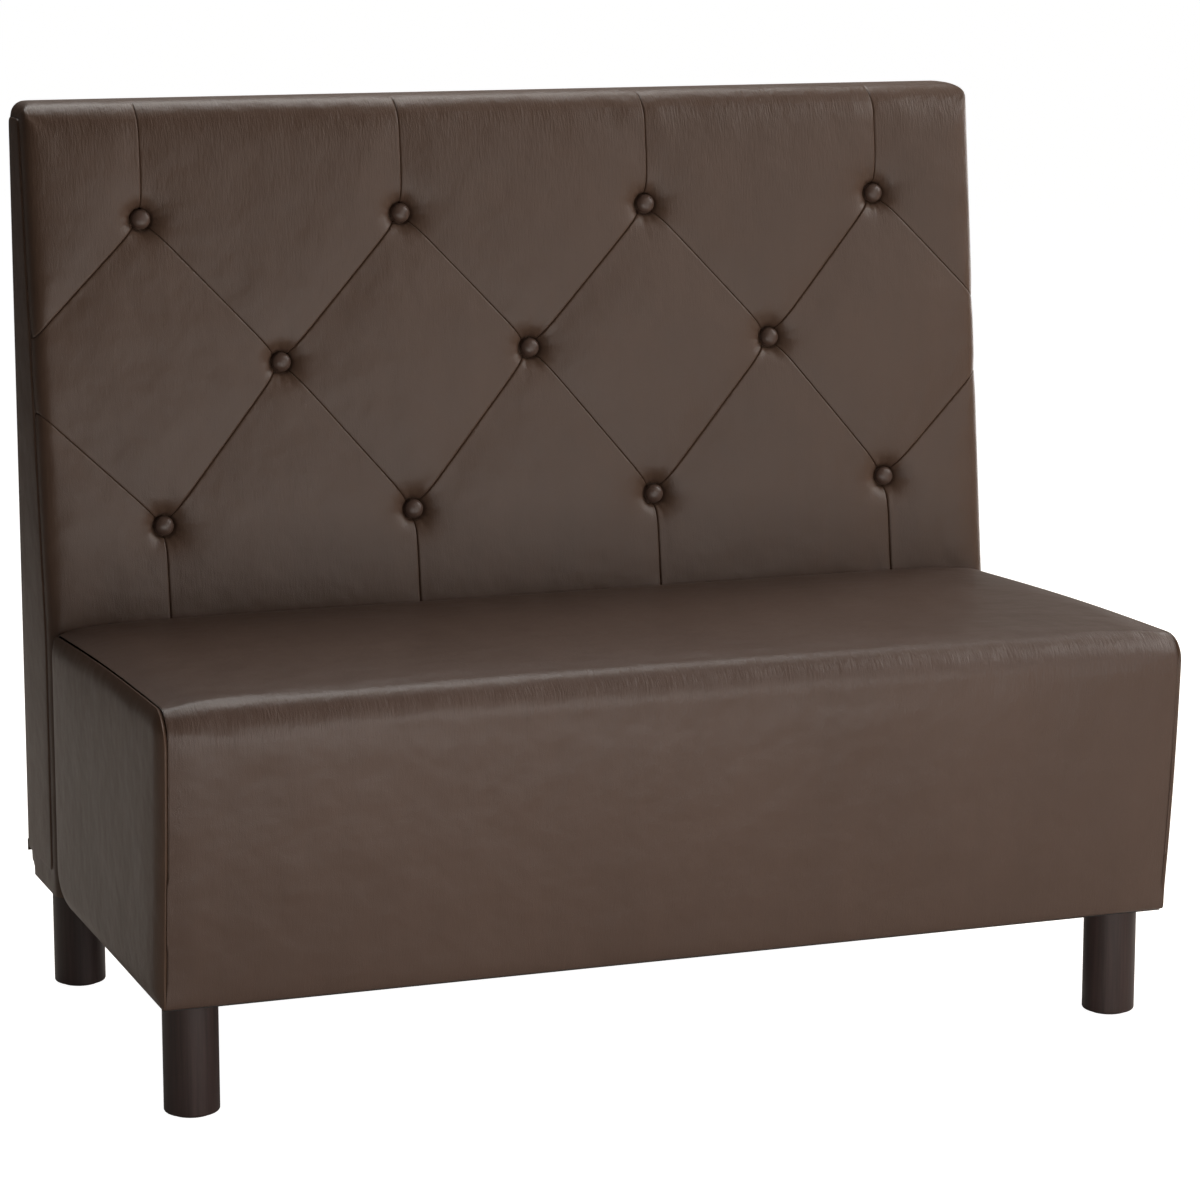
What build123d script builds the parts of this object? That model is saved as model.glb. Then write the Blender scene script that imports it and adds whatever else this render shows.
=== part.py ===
from build123d import *
import math
import os

os.makedirs("parts", exist_ok=True)

# An upholstered bench with a buttoned back. X runs along the bench, Y from its front to its
# rear, Z up. The origin is on the floor, under the middle of the whole bench. Lengths are in
# millimetres.

# Overall sizes
bench_width = 1200.0
bench_height = 1055.0
underside_height = 130.0
seat_depth = 532.0
back_base_depth = 150.0
back_top_depth = 78.0
hem_band_thickness = 3.0

# Covers: one skin of imitation leather, with a little air between it and what it covers
skin = 1.2
air = 0.3
hem_width = 15.0

# Seat box
seat_edge_height = 462.0
seat_crown = 8.0
seat_fall = 14.0
seat_camber = 4.0
seat_nose_radius = 35.0
seat_front_bow = 9.5
seat_front_swell = 4.0
seat_foot_setback = 38.0
seat_foot_radius = 7.0
seat_rear_radius = 9.0
seat_heel_radius = 46.0
seat_rear_wrap = 60.0
side_pad_thickness = 8.0
side_swell = 4.0
front_pad_thickness = 12.0
deck_height = 385.0
panel_thickness = 16.0
rib_thickness = 16.0
corner_block_width = 40.0
corner_block_rise = 48.0

# Webbing and felt under the seat foam
webbing_width = 60.0
webbing_thickness = 1.5
long_strap_count = 3
cross_strap_count = 7
felt_thickness = 4.0
felt_margin = 22.0

# Back
back_bend_height = 440.0
roll_radius_base = 22.0
roll_radius_top = 19.0
top_roll_radius = 18.0
rear_edge_radius = 3.0
seam_setback_top = 50.0
back_heel_radius = 27.0
back_foam_thickness = 26.0
back_foam_rise = 15.0
top_pad_thickness = 12.0
tufting_board_thickness = 6.0
lower_board_thickness = 12.0
post_thickness = 22.0
inner_post_pitches = 1.5
frame_corner_round = 3.5
rail_thickness = 18.0
middle_rail_share = 0.316
middle_rail_width = 70.0
hem_band_foot = 154.0
hem_band_height = 14.0
hem_band_overhang = 2.0

# Buttons and the folds between them: the pitch is a share of the bench's width, and heights
# are shares of the open face, from the seat's rear edge to the top of the back
button_pitch_share = 0.2583
top_row_share = 0.778
middle_row_share = 0.499
bottom_row_share = 0.199
button_radius = 11.0
button_height = 7.0
button_rim = 1.6
pit_radius = 40.0
pit_depth = 15.0
fold_width = 7.0
fold_depth = 5.0
edge_fold_upper_share = 0.557
edge_fold_lower_share = 0.422
twine_radius = 0.9
twine_bore_radius = 2.0
shank_radius = 1.8
shank_length = 5.0
washer_radius = 9.0
washer_thickness = 2.0
top_row_nudge_shares = ((-0.004, 0.0), (0.018, -0.008), (0.027, -0.003), (0.009, 0.011))
middle_row_nudge_shares = ((0.017, -0.009), (0.022, 0.004), (0.034, 0.003))
bottom_row_nudge_shares = ((0.029, -0.016), (0.020, -0.007), (0.017, -0.003), (0.013, 0.013))

# Legs and their fixings
leg_radius = 30.5
leg_side_inset = 15.3
front_leg_inset = 22.4
rear_leg_inset = 24.7
leg_foot_round = 3.0
leg_top_chamfer = 1.0
glide_radius = 23.0
glide_thickness = 2.5
glide_edge_round = 1.0
glide_nail_radius = 1.5
glide_nail_length = 12.0
bolt_radius = 4.0
bolt_running_clearance = 0.05
bolt_depth_in_leg = 34.0
bolt_end_gap = 1.0
bolt_stand_out = 6.0
plate_thickness = 20.0
plate_side = 104.0
tee_nut_barrel_radius = 5.0
tee_nut_barrel_length = 14.0
joining_barrel_length = 11.0
tee_nut_flange_radius = 11.0
tee_nut_flange_thickness = 1.5
fixing_clearance = 0.1
dust_cover_thickness = 0.8
dust_cover_margin = 6.0
dust_cover_bore_radius = 6.0

# Bolts that hold the seat box to the back
joining_bolt_spacing_share = 0.7
joining_bolt_low_rise = 85.0
joining_bolt_high_drop = 40.0
joining_head_radius = 7.0
joining_head_height = 5.0
joining_washer_radius = 10.0
joining_washer_thickness = 1.6

# One overrun for every cut
overrun = 20.0

half_width = bench_width / 2
bench_depth = seat_depth + back_base_depth + hem_band_thickness
front_y = -bench_depth / 2
junction_y = front_y + seat_depth
rear_y = junction_y + back_base_depth
foot_y = front_y + seat_foot_setback
frame_inset = skin + air
board_foot = underside_height + frame_inset
side_panel_outer = half_width - frame_inset - side_pad_thickness
side_panel_inner = side_panel_outer - panel_thickness
corner_block_foot = underside_height + corner_block_rise
back_foam_foot = deck_height + back_foam_rise
button_pitch = bench_width * button_pitch_share
inner_post_spacing = button_pitch * inner_post_pitches
joining_bolt_spacing = bench_width * joining_bolt_spacing_share
joining_bolt_low_height = underside_height + joining_bolt_low_rise
joining_bolt_high_height = deck_height - joining_bolt_high_drop


def face_level(share):
    """The height at a share of the back's open face."""
    face_foot = seat_edge_height - seat_fall
    return face_foot + (bench_height - face_foot) * share


def rounded_face(corners, radii, place):
    """A flat face through the corners, each rounded by its own radius."""
    count = len(corners)
    starts = []
    middles = []
    ends = []
    for index in range(count):
        corner = Vector(*corners[index])
        before = (Vector(*corners[index - 1]) - corner).normalized()
        after = (Vector(*corners[(index + 1) % count]) - corner).normalized()
        half_angle = math.radians(before.get_angle(after)) / 2
        reach = radii[index] / math.tan(half_angle)
        rise = radii[index] / math.sin(half_angle) - radii[index]
        starts.append(corner + before * reach)
        middles.append(corner + (before + after).normalized() * rise)
        ends.append(corner + after * reach)
    edges = []
    for index in range(count):
        arc_points = [place(p.X, p.Y) for p in (starts[index], middles[index], ends[index])]
        if radii[index] > 0:
            edges.append(ThreePointArc(*arc_points))
        following = starts[(index + 1) % count]
        edges.append(Line(arc_points[2], place(following.X, following.Y)))
    return Face(Wire(edges))


def side_prism(corners, x_low, x_high):
    """A prism whose outline lies in the Y-Z plane, from x_low to x_high."""
    outline = rounded_face(corners, [0] * len(corners), lambda y, z: (x_low, y, z))
    return extrude(outline, amount=x_high - x_low, dir=(1, 0, 0))


def box_between(low, high):
    """A box from its lowest to its highest corner."""
    size = [high[axis] - low[axis] for axis in range(3)]
    centre = [(high[axis] + low[axis]) / 2 for axis in range(3)]
    return Pos(*centre) * Box(*size)


def rod(start, direction, radius, length):
    """A round rod that starts at a point and runs along a direction."""
    return Plane(origin=start, z_dir=direction) * extrude(Circle(radius), amount=length)


def both_sides(solid):
    """A solid and its mirror image across the middle of the bench."""
    return [solid, mirror(solid, about=Plane.YZ)]


def write(name, *solids):
    """Write one sub-part, as one solid or as a group of separate solids."""
    shape = solids[0] if len(solids) == 1 else Compound(children=list(solids))
    shape.label = name
    export_step(shape, f"parts/{name}.step")


# Seat form
camber_share = 0.5
swell_share = 0.5
gentle_share = 0.8
crown_power = 3
section_shares = (-1.0, -0.8, -0.45, 0.0, 0.45, 0.8, 1.0)


def touch_angle(point, centre, radius, side):
    """Where, on a circle, the tangent from a point touches it."""
    across = point[0] - centre[0]
    up = point[1] - centre[1]
    base = math.atan2(up, across)
    return (base + side * math.acos(radius / math.hypot(across, up))) % (2 * math.pi)


def gentle_radius(before, corner, after):
    """The radius that rounds a shallow corner over most of its shorter run."""
    first = Vector(*before) - Vector(*corner)
    second = Vector(*after) - Vector(*corner)
    half_angle = math.radians(first.get_angle(second)) / 2
    return gentle_share / 2 * min(first.length, second.length) * math.tan(half_angle)


def seat_outline(x, inset):
    """Corners and radii of the seat's cross-section at x, drawn in by inset."""
    share = 1 - abs(x / half_width) ** crown_power
    front = front_y + seat_front_bow * (1 - share) + inset
    top = seat_edge_height + seat_crown * share - inset
    nose_radius = seat_nose_radius - inset
    nose_centre = (front + nose_radius, top - nose_radius)
    foot = (foot_y + inset, underside_height + inset)
    rear = junction_y - inset
    rear_top = (rear, top - seat_fall)
    rear_foot = (rear, underside_height + inset)
    swell = (
        foot[0] + (front - foot[0]) * swell_share - seat_front_swell,
        foot[1] + (nose_centre[1] - foot[1]) * swell_share,
    )
    camber = (
        nose_centre[0] + (rear - nose_centre[0]) * camber_share,
        top - seat_fall * camber_share + seat_camber,
    )
    front_touch = touch_angle(swell, nose_centre, nose_radius, -1)
    top_touch = touch_angle(camber, nose_centre, nose_radius, 1)
    nose_reach = nose_radius / math.cos((front_touch - top_touch) / 2)
    nose_angle = (front_touch + top_touch) / 2
    nose = (
        nose_centre[0] + nose_reach * math.cos(nose_angle),
        nose_centre[1] + nose_reach * math.sin(nose_angle),
    )
    corners = [rear_foot, foot, swell, nose, camber, rear_top]
    radii = [
        seat_heel_radius - inset,
        seat_foot_radius - inset,
        gentle_radius(foot, swell, nose),
        nose_radius,
        gentle_radius(nose, camber, rear_top),
        seat_rear_radius - inset,
    ]
    return corners, radii


def seat_form(inset, reach):
    """The crowned block of the seat, drawn in by inset, from -reach to reach."""
    sections = []
    for share in section_shares:
        x = share * reach
        corners, radii = seat_outline(x, inset)
        sections.append(rounded_face(corners, radii, lambda y, z, x=x: (x, y, z)))
    return loft(sections)


# Side panels swell outwards in steps: how far out, and how much of the outline is left
swell_steps = ((0.0, 1.0), (0.62, 0.93), (1.0, 0.78))


def side_form(inset, x_low, x_edge):
    """The swollen right-hand side of the seat, from x_low to x_edge and its swell beyond."""
    corners, radii = seat_outline(half_width, inset)
    middle_y = (foot_y + junction_y) / 2
    middle_z = (underside_height + seat_edge_height) / 2
    levels = [(x_low, 1.0)]
    for out_share, size_share in swell_steps:
        levels.append((x_edge + side_swell * out_share, size_share))
    sections = []
    for x, size in levels:
        place = lambda y, z, x=x, size=size: (
            x,
            middle_y + (y - middle_y) * size,
            middle_z + (z - middle_z) * size,
        )
        sections.append(rounded_face(corners, radii, place))
    return loft(sections, ruled=True)


# Seat covers
cover_reach = half_width - skin
wrap_foot = seat_edge_height - seat_fall - seat_rear_wrap
seat_skin = seat_form(0, cover_reach) - seat_form(skin, cover_reach)
heel_height = board_foot + seat_heel_radius
rear_window = box_between(
    (-cover_reach - overrun, junction_y - skin - overrun, heel_height),
    (cover_reach + overrun, junction_y + overrun, wrap_foot),
)
under_window = box_between(
    (-cover_reach + hem_width, foot_y + hem_width, underside_height - overrun),
    (cover_reach - hem_width, junction_y - seat_heel_radius, underside_height + 2 * skin),
)
write("seat_cover", seat_skin - rear_window - under_window)
right_side_cover = side_form(0, cover_reach, half_width)
right_side_cover -= side_form(0, cover_reach - skin, half_width - skin)
left_side_cover = mirror(right_side_cover, about=Plane.YZ)
write("seat_side_cover_right", right_side_cover)
write("seat_side_cover_left", left_side_cover)

# Seat foams: the thick seat foam, a thin pad in front and one on each side
foam_foot = deck_height + 2 * webbing_thickness + felt_thickness
inner_form = seat_form(frame_inset, cover_reach)
pad_outer = half_width - frame_inset
foam_region = box_between(
    (-side_panel_outer, front_y, foam_foot),
    (side_panel_outer, junction_y, seat_edge_height + seat_crown + seat_camber),
)
write("seat_foam", inner_form & foam_region)
right_side_pad = side_form(frame_inset, side_panel_outer, pad_outer)
write("seat_side_pad_right", right_side_pad)
write("seat_side_pad_left", mirror(right_side_pad, about=Plane.YZ))

# Seat box: front, rear and side panels, a rib across the middle, and corner blocks
edge_front_y = front_y + seat_front_bow
nose_level = seat_edge_height - seat_nose_radius
front_lean = (edge_front_y - foot_y) / (nose_level - underside_height)


def front_panel_y(z, depth):
    """The seat's front plane at a height, moved back by a depth."""
    return foot_y + (z - underside_height) * front_lean + frame_inset + depth


def front_slab(depth_low, depth_high, z_low, z_high, reach):
    """A leaning slab parallel to the seat's front."""
    corners = [
        (front_panel_y(z_low, depth_low), z_low),
        (front_panel_y(z_low, depth_high), z_low),
        (front_panel_y(z_high, depth_high), z_high),
        (front_panel_y(z_high, depth_low), z_high),
    ]
    return side_prism(corners, -reach, reach)


panel_back = front_pad_thickness + panel_thickness
rear_panel_back = junction_y - frame_inset
rear_panel_front = rear_panel_back - panel_thickness
pad_region = front_slab(-overrun, front_pad_thickness, board_foot, foam_foot, side_panel_outer)
write("seat_front_pad", inner_form & pad_region)
write(
    "seat_front_panel",
    front_slab(front_pad_thickness, panel_back, board_foot, deck_height, side_panel_outer),
)


def joining_bores(radius):
    """Rods through the four places where bolts hold the seat to the back."""
    rods = []
    for x in (-joining_bolt_spacing / 2, joining_bolt_spacing / 2):
        for z in (joining_bolt_low_height, joining_bolt_high_height):
            start = (x, rear_panel_front - overrun, z)
            length = panel_thickness + lower_board_thickness + 2 * frame_inset + 2 * overrun
            rods.append(rod(start, (0, 1, 0), radius, length))
    return rods


joining_bore_radius = bolt_radius + fixing_clearance
barrel_bore_radius = tee_nut_barrel_radius + fixing_clearance
rear_panel = box_between(
    (-side_panel_outer, rear_panel_front, heel_height),
    (side_panel_outer, rear_panel_back, deck_height),
)
write("seat_rear_panel", rear_panel - joining_bores(joining_bore_radius))


write(
    "seat_heel_board",
    side_prism(
        [
            (rear_panel_front - seat_heel_radius, board_foot),
            (rear_panel_back - seat_heel_radius, board_foot),
            (rear_panel_back, heel_height),
            (rear_panel_front, heel_height),
        ],
        -side_panel_outer,
        side_panel_outer,
    ),
)


def seat_partition(x_low, x_high):
    """An upright panel that runs from the front panel to the rear panel."""
    corners = [
        (front_panel_y(board_foot, panel_back), board_foot),
        (rear_panel_front - seat_heel_radius, board_foot),
        (rear_panel_front, heel_height),
        (rear_panel_front, deck_height),
        (front_panel_y(deck_height, panel_back), deck_height),
    ]
    return side_prism(corners, x_low, x_high)


right_side_panel = seat_partition(side_panel_inner, side_panel_outer)
write("seat_side_panel_right", right_side_panel)
write("seat_side_panel_left", mirror(right_side_panel, about=Plane.YZ))
write("seat_middle_rib", seat_partition(-rib_thickness / 2, rib_thickness / 2))

front_block = side_prism(
    [
        (front_panel_y(corner_block_foot, panel_back), corner_block_foot),
        (front_panel_y(corner_block_foot, panel_back) + corner_block_width, corner_block_foot),
        (front_panel_y(corner_block_foot, panel_back) + corner_block_width, deck_height),
        (front_panel_y(deck_height, panel_back), deck_height),
    ],
    side_panel_inner - corner_block_width,
    side_panel_inner,
)
rear_block = box_between(
    (side_panel_inner - corner_block_width, rear_panel_front - corner_block_width, heel_height),
    (side_panel_inner, rear_panel_front, deck_height),
)
write("seat_corner_blocks", *both_sides(front_block), *both_sides(rear_block))

# Webbing on the seat box, with the insulating felt on top
deck_front = front_panel_y(deck_height, front_pad_thickness)
strap_bottom = deck_height
strap_middle = deck_height + webbing_thickness
strap_top = deck_height + 2 * webbing_thickness
cross_pitch = 2 * side_panel_inner / cross_strap_count
cross_straps = []
for index in range(cross_strap_count):
    x = -side_panel_inner + (index + 1 / 2) * cross_pitch
    cross_straps.append(
        box_between(
            (x - webbing_width / 2, deck_front, strap_bottom),
            (x + webbing_width / 2, rear_panel_back, strap_middle),
        )
    )
write("webbing_front_to_back", *cross_straps)
long_pitch = (rear_panel_front - front_panel_y(deck_height, panel_back)) / long_strap_count
long_straps = []
for index in range(long_strap_count):
    y = front_panel_y(deck_height, panel_back) + (index + 1 / 2) * long_pitch
    long_straps.append(
        box_between(
            (-side_panel_outer, y - webbing_width / 2, strap_middle),
            (side_panel_outer, y + webbing_width / 2, strap_top),
        )
    )
write("webbing_side_to_side", *long_straps)
write(
    "seat_felt",
    box_between(
        (-side_panel_outer + felt_margin, deck_front + felt_margin, strap_top),
        (side_panel_outer - felt_margin, rear_panel_back - felt_margin, foam_foot),
    ),
)

# Back form: upright behind the seat, then leaning back up to a rounded top
lean_rise = bench_height - back_bend_height
lean_run = back_base_depth - back_top_depth
lean_tangent = lean_run / lean_rise
lean_angle = math.atan(lean_tangent)
lean_length = math.hypot(lean_rise, lean_run)
roll_steps = 4
rear_roll_share = 0.3
cushion = Plane(
    origin=(0, junction_y, back_bend_height),
    x_dir=(1, 0, 0),
    z_dir=(0, -math.cos(lean_angle), math.sin(lean_angle)),
)


def lean_y(z, depth):
    """The back's leaning front plane at a height, moved back by a depth along its normal."""
    return junction_y + depth / math.cos(lean_angle) + (z - back_bend_height) * lean_tangent


def back_section(z, face, roll_radius, inset, draw_in):
    """One level of the back: its outline at z, with the top roll's draw_in."""
    reach = half_width - inset - draw_in
    front = face + inset + draw_in
    rear = rear_y - inset - draw_in * rear_roll_share
    front_radius = max(roll_radius - inset - draw_in, rear_edge_radius - inset)
    corners = [(reach, rear), (-reach, rear), (-reach, front), (reach, front)]
    radii = [rear_edge_radius - inset] * 2 + [front_radius] * 2
    return rounded_face(corners, radii, lambda x, y: (x, y, z))


def back_block(inset):
    """The back as a closed block, drawn in by inset."""
    foot = underside_height + inset
    sections = [
        back_section(foot, junction_y, roll_radius_base, inset, 0),
        back_section(back_bend_height, junction_y, roll_radius_base, inset, 0),
    ]
    for step in range(roll_steps + 1):
        angle = math.pi / 2 * step / roll_steps
        z = bench_height - top_roll_radius + (top_roll_radius - inset) * math.sin(angle)
        draw_in = (top_roll_radius - inset) * (1 - math.cos(angle))
        face = lean_y(bench_height - top_roll_radius, 0)
        sections.append(back_section(z, face, roll_radius_top, inset, draw_in))
    heel = box_between(
        (-half_width - overrun, rear_y - back_heel_radius, underside_height - overrun),
        (half_width + overrun, rear_y + overrun, underside_height + back_heel_radius),
    )
    heel_start = (
        -half_width - 2 * overrun,
        rear_y - back_heel_radius,
        underside_height + back_heel_radius,
    )
    heel -= rod(heel_start, (1, 0, 0), back_heel_radius - inset, bench_width + 4 * overrun)
    return loft(sections, ruled=True) - heel


# Buttons, row by row, on the cushion plane
def button_row(height, first_share, nudge_shares):
    """The places of one row of buttons on the cushion plane."""
    places = []
    for index, (across_share, up_share) in enumerate(nudge_shares):
        x = button_pitch * (first_share + index + across_share)
        z = height + button_pitch * up_share
        places.append((x, (z - back_bend_height) / math.cos(lean_angle)))
    return places


top_row = button_row(face_level(top_row_share), -1.5, top_row_nudge_shares)
middle_row = button_row(face_level(middle_row_share), -1.0, middle_row_nudge_shares)
bottom_row = button_row(face_level(bottom_row_share), -1.5, bottom_row_nudge_shares)
button_places = top_row + middle_row + bottom_row


def fold_lines():
    """Start and end of each fold, as places on the cushion plane."""
    lines = []
    for index, centre in enumerate(middle_row):
        for row in (top_row, bottom_row):
            lines.append((centre, row[index]))
            lines.append((centre, row[index + 1]))
    upper = (face_level(edge_fold_upper_share) - back_bend_height) / math.cos(lean_angle)
    lower = (face_level(edge_fold_lower_share) - back_bend_height) / math.cos(lean_angle)
    for end, edge in ((0, -half_width), (-1, half_width)):
        lines.append((top_row[end], (edge, upper)))
        lines.append((bottom_row[end], (edge, lower)))
    for x, up in top_row:
        lines.append(((x, up), (x, lean_length + overrun)))
    for x, up in bottom_row:
        lines.append(((x, up), (x, 0)))
    return lines


def fold_wedge(length):
    """The wedge of a fold, its mouth upwards, along Z."""
    half_mouth = fold_width / 2 * (1 + overrun / fold_depth)
    outline = Polygon((-half_mouth, overrun), (0, -fold_depth), (half_mouth, overrun), align=None)
    return extrude(outline, amount=length)


def fold_tool(start, end):
    """A wedge that sinks one fold between two places on the cushion plane."""
    along = Vector(*end) - Vector(*start)
    turn = Plane(origin=start, x_dir=(-along.Y, along.X, 0), z_dir=(along.X, along.Y, 0))
    return turn * fold_wedge(along.length)


def pit_tool():
    """The hollow that a button pulls into the cushion."""
    run = pit_radius - button_radius
    shoulder_radius = (run**2 + pit_depth**2) / (2 * pit_depth)
    half_turn = math.asin(run / shoulder_radius) / 2
    middle = (
        pit_radius - shoulder_radius * math.sin(half_turn),
        0,
        shoulder_radius * (math.cos(half_turn) - 1),
    )
    edges = [
        ThreePointArc((pit_radius, 0, 0), middle, (button_radius, 0, -pit_depth)),
        Line((button_radius, 0, -pit_depth), (0, 0, -pit_depth)),
        Line((0, 0, -pit_depth), (0, 0, overrun)),
        Line((0, 0, overrun), (pit_radius, 0, overrun)),
        Line((pit_radius, 0, overrun), (pit_radius, 0, 0)),
    ]
    return revolve(Face(Wire(edges)), axis=Axis.Z)


def tufted_form(inset):
    """The back block with its pits and folds, drawn in by inset."""
    tools = []
    for x, up in button_places:
        tools.append(cushion * Pos(x, up, -inset) * pit_tool())
    for start, end in fold_lines():
        tools.append(cushion * Pos(0, 0, -inset) * fold_tool(start, end))
    over_top_length = back_top_depth - seam_setback_top + overrun
    for x, up in top_row:
        start = (x, rear_y - seam_setback_top, bench_height - inset)
        over_top = Plane(origin=start, x_dir=(1, 0, 0), z_dir=(0, -1, 0))
        tools.append(over_top * fold_wedge(over_top_length))
    return back_block(inset) - tools


def twine_bores(radius):
    """Rods through the cover, the foam and the board, one behind each button."""
    rods = []
    for x, up in button_places:
        start = cushion.from_local_coords((x, up, -pit_depth + overrun))
        length = back_foam_thickness + tufting_board_thickness + overrun
        rods.append(rod(start, -cushion.z_dir, radius, length))
    return rods


# Back covers: the buttoned front, a flat panel on each side and the rear lining
outer_back = tufted_form(0)
inner_back = tufted_form(skin)
back_window = box_between(
    (-half_width + hem_width, junction_y + lower_board_thickness, underside_height - overrun),
    (half_width - hem_width, rear_y - back_heel_radius, underside_height + 2 * skin),
)
back_skin = outer_back - inner_back - back_window
side_panel_top = bench_height - top_roll_radius
side_region_outline = [
    (junction_y + roll_radius_base, underside_height + back_heel_radius),
    (junction_y + roll_radius_base, back_bend_height),
    (rear_y - seam_setback_top, side_panel_top),
    (rear_y - rear_edge_radius, side_panel_top),
    (rear_y - rear_edge_radius, underside_height + back_heel_radius),
]
right_side_region = side_prism(side_region_outline, half_width - skin, half_width + overrun)
left_side_region = mirror(right_side_region, about=Plane.YZ)
lining_region = box_between(
    (-half_width + rear_edge_radius, rear_y - skin, hem_band_foot),
    (half_width - rear_edge_radius, rear_y + overrun, side_panel_top),
)
back_cover = back_skin - right_side_region - left_side_region - lining_region
write("back_cover", back_cover - twine_bores(twine_bore_radius) - joining_bores(joining_bore_radius))
write("back_side_cover_right", back_skin & right_side_region)
write("back_side_cover_left", back_skin & left_side_region)
write("rear_lining", back_skin & lining_region)
write(
    "rear_hem_band",
    box_between(
        (-half_width - hem_band_overhang, rear_y, hem_band_foot),
        (half_width + hem_band_overhang, rear_y + hem_band_thickness, hem_band_foot + hem_band_height),
    ),
)

# Back foam: in front of the tufting board and over the top rail
frame_top = bench_height - frame_inset - top_pad_thickness
board_back = back_foam_thickness + tufting_board_thickness
foam_outline = [
    (junction_y - overrun, back_foam_foot),
    (lean_y(back_foam_foot, back_foam_thickness), back_foam_foot),
    (lean_y(frame_top, back_foam_thickness), frame_top),
    (rear_y + overrun, frame_top),
    (rear_y + overrun, bench_height + overrun),
    (junction_y - overrun, bench_height + overrun),
]
back_foam = tufted_form(frame_inset) & side_prism(foam_outline, -half_width, half_width)
write("back_foam", back_foam - twine_bores(twine_bore_radius))

# Back frame: tufting board, lower board, posts and rails
frame_reach = half_width - frame_inset
rail_reach = frame_reach - frame_corner_round
rear_inner = rear_y - frame_inset
lower_board_back = junction_y + frame_inset + lower_board_thickness
heel_cut = back_heel_radius + air
tufting_board = side_prism(
    [
        (lean_y(back_foam_foot, back_foam_thickness), back_foam_foot),
        (lean_y(back_foam_foot, board_back), back_foam_foot),
        (lean_y(frame_top, board_back), frame_top),
        (lean_y(frame_top, back_foam_thickness), frame_top),
    ],
    -rail_reach,
    rail_reach,
)
write("tufting_board", tufting_board - twine_bores(twine_bore_radius))
lower_board = box_between(
    (-frame_reach + roll_radius_base, junction_y + frame_inset, board_foot),
    (frame_reach - roll_radius_base, lower_board_back, back_foam_foot),
)
write("lower_board", lower_board - joining_bores(barrel_bore_radius))


def post_outline(foot):
    """The outline of an upright post of the back, from its foot height up."""
    rail_foot = frame_top - rail_thickness
    return [
        (lower_board_back, foot),
        (lower_board_back, back_foam_foot),
        (lean_y(back_foam_foot, board_back), back_foam_foot),
        (lean_y(rail_foot, board_back), rail_foot),
        (rear_inner, rail_foot),
        (rear_inner, board_foot + heel_cut),
        (rear_inner - heel_cut + foot - board_foot, foot),
    ]


post_inner = frame_reach - post_thickness
right_post = side_prism(post_outline(board_foot), post_inner, frame_reach)
front_edges = right_post.edges().filter_by(Axis.Z).sort_by(Axis.Y)[:2]
post_front_round = roll_radius_base - frame_inset - lower_board_thickness
right_post = fillet(front_edges.sort_by(Axis.X)[-1], post_front_round)
rear_edges = right_post.edges().filter_by(Axis.Z).sort_by(Axis.Y)[-2:]
right_post = fillet(rear_edges.sort_by(Axis.X)[-1], frame_corner_round)
write("back_post_right", right_post)
write("back_post_left", mirror(right_post, about=Plane.YZ))
rail_top = underside_height + plate_thickness
inner_post_low = (inner_post_spacing - post_thickness) / 2
inner_post_high = (inner_post_spacing + post_thickness) / 2
right_inner_post = side_prism(post_outline(rail_top), inner_post_low, inner_post_high)
write("back_inner_post_right", right_inner_post)
write("back_inner_post_left", mirror(right_inner_post, about=Plane.YZ))
write(
    "back_top_rail",
    side_prism(
        [
            (lean_y(frame_top - rail_thickness, board_back), frame_top - rail_thickness),
            (lean_y(frame_top, board_back), frame_top),
            (rear_inner, frame_top),
            (rear_inner, frame_top - rail_thickness),
        ],
        -rail_reach,
        rail_reach,
    ),
)
middle_rail_height = face_level(middle_rail_share)
middle_rail_top = middle_rail_height + rail_thickness
right_middle_rail = box_between(
    (inner_post_high, rear_inner - middle_rail_width, middle_rail_height),
    (post_inner, rear_inner, middle_rail_top),
)
centre_rail = box_between(
    (-inner_post_low, rear_inner - middle_rail_width, middle_rail_height),
    (inner_post_low, rear_inner, middle_rail_top),
)
write("back_middle_rails", centre_rail, *both_sides(right_middle_rail))

# Leg places, tee nuts and the wood that holds them
leg_x = half_width - leg_side_inset - leg_radius
front_leg_y = foot_y + front_leg_inset + leg_radius
rear_leg_y = rear_y - rear_leg_inset - leg_radius
leg_places = {
    "front_left": (-leg_x, front_leg_y),
    "front_right": (leg_x, front_leg_y),
    "rear_left": (-leg_x, rear_leg_y),
    "rear_right": (leg_x, rear_leg_y),
}
leg_top = underside_height - dust_cover_thickness
plate_top = underside_height + plate_thickness


def leg_bores(radius):
    """Upright rods through the underside at the four legs."""
    rods = []
    for x, y in leg_places.values():
        start = (x, y, leg_top - overrun)
        rods.append(rod(start, (0, 0, 1), radius, plate_thickness + 2 * overrun))
    return rods


plate_front = front_panel_y(plate_top, panel_back)
right_plate = box_between(
    (side_panel_inner - plate_side, plate_front, underside_height),
    (side_panel_inner, plate_front + plate_side, plate_top),
)
plate_notch = front_slab(front_pad_thickness, panel_back, underside_height, plate_top, half_width)
right_plate = right_plate - plate_notch - leg_bores(barrel_bore_radius)
write("front_leg_plates", *both_sides(right_plate))
bottom_rail = box_between(
    (-post_inner, lower_board_back, underside_height),
    (post_inner, rear_inner - heel_cut, plate_top),
)
write("back_bottom_rail", bottom_rail - leg_bores(barrel_bore_radius))


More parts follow.
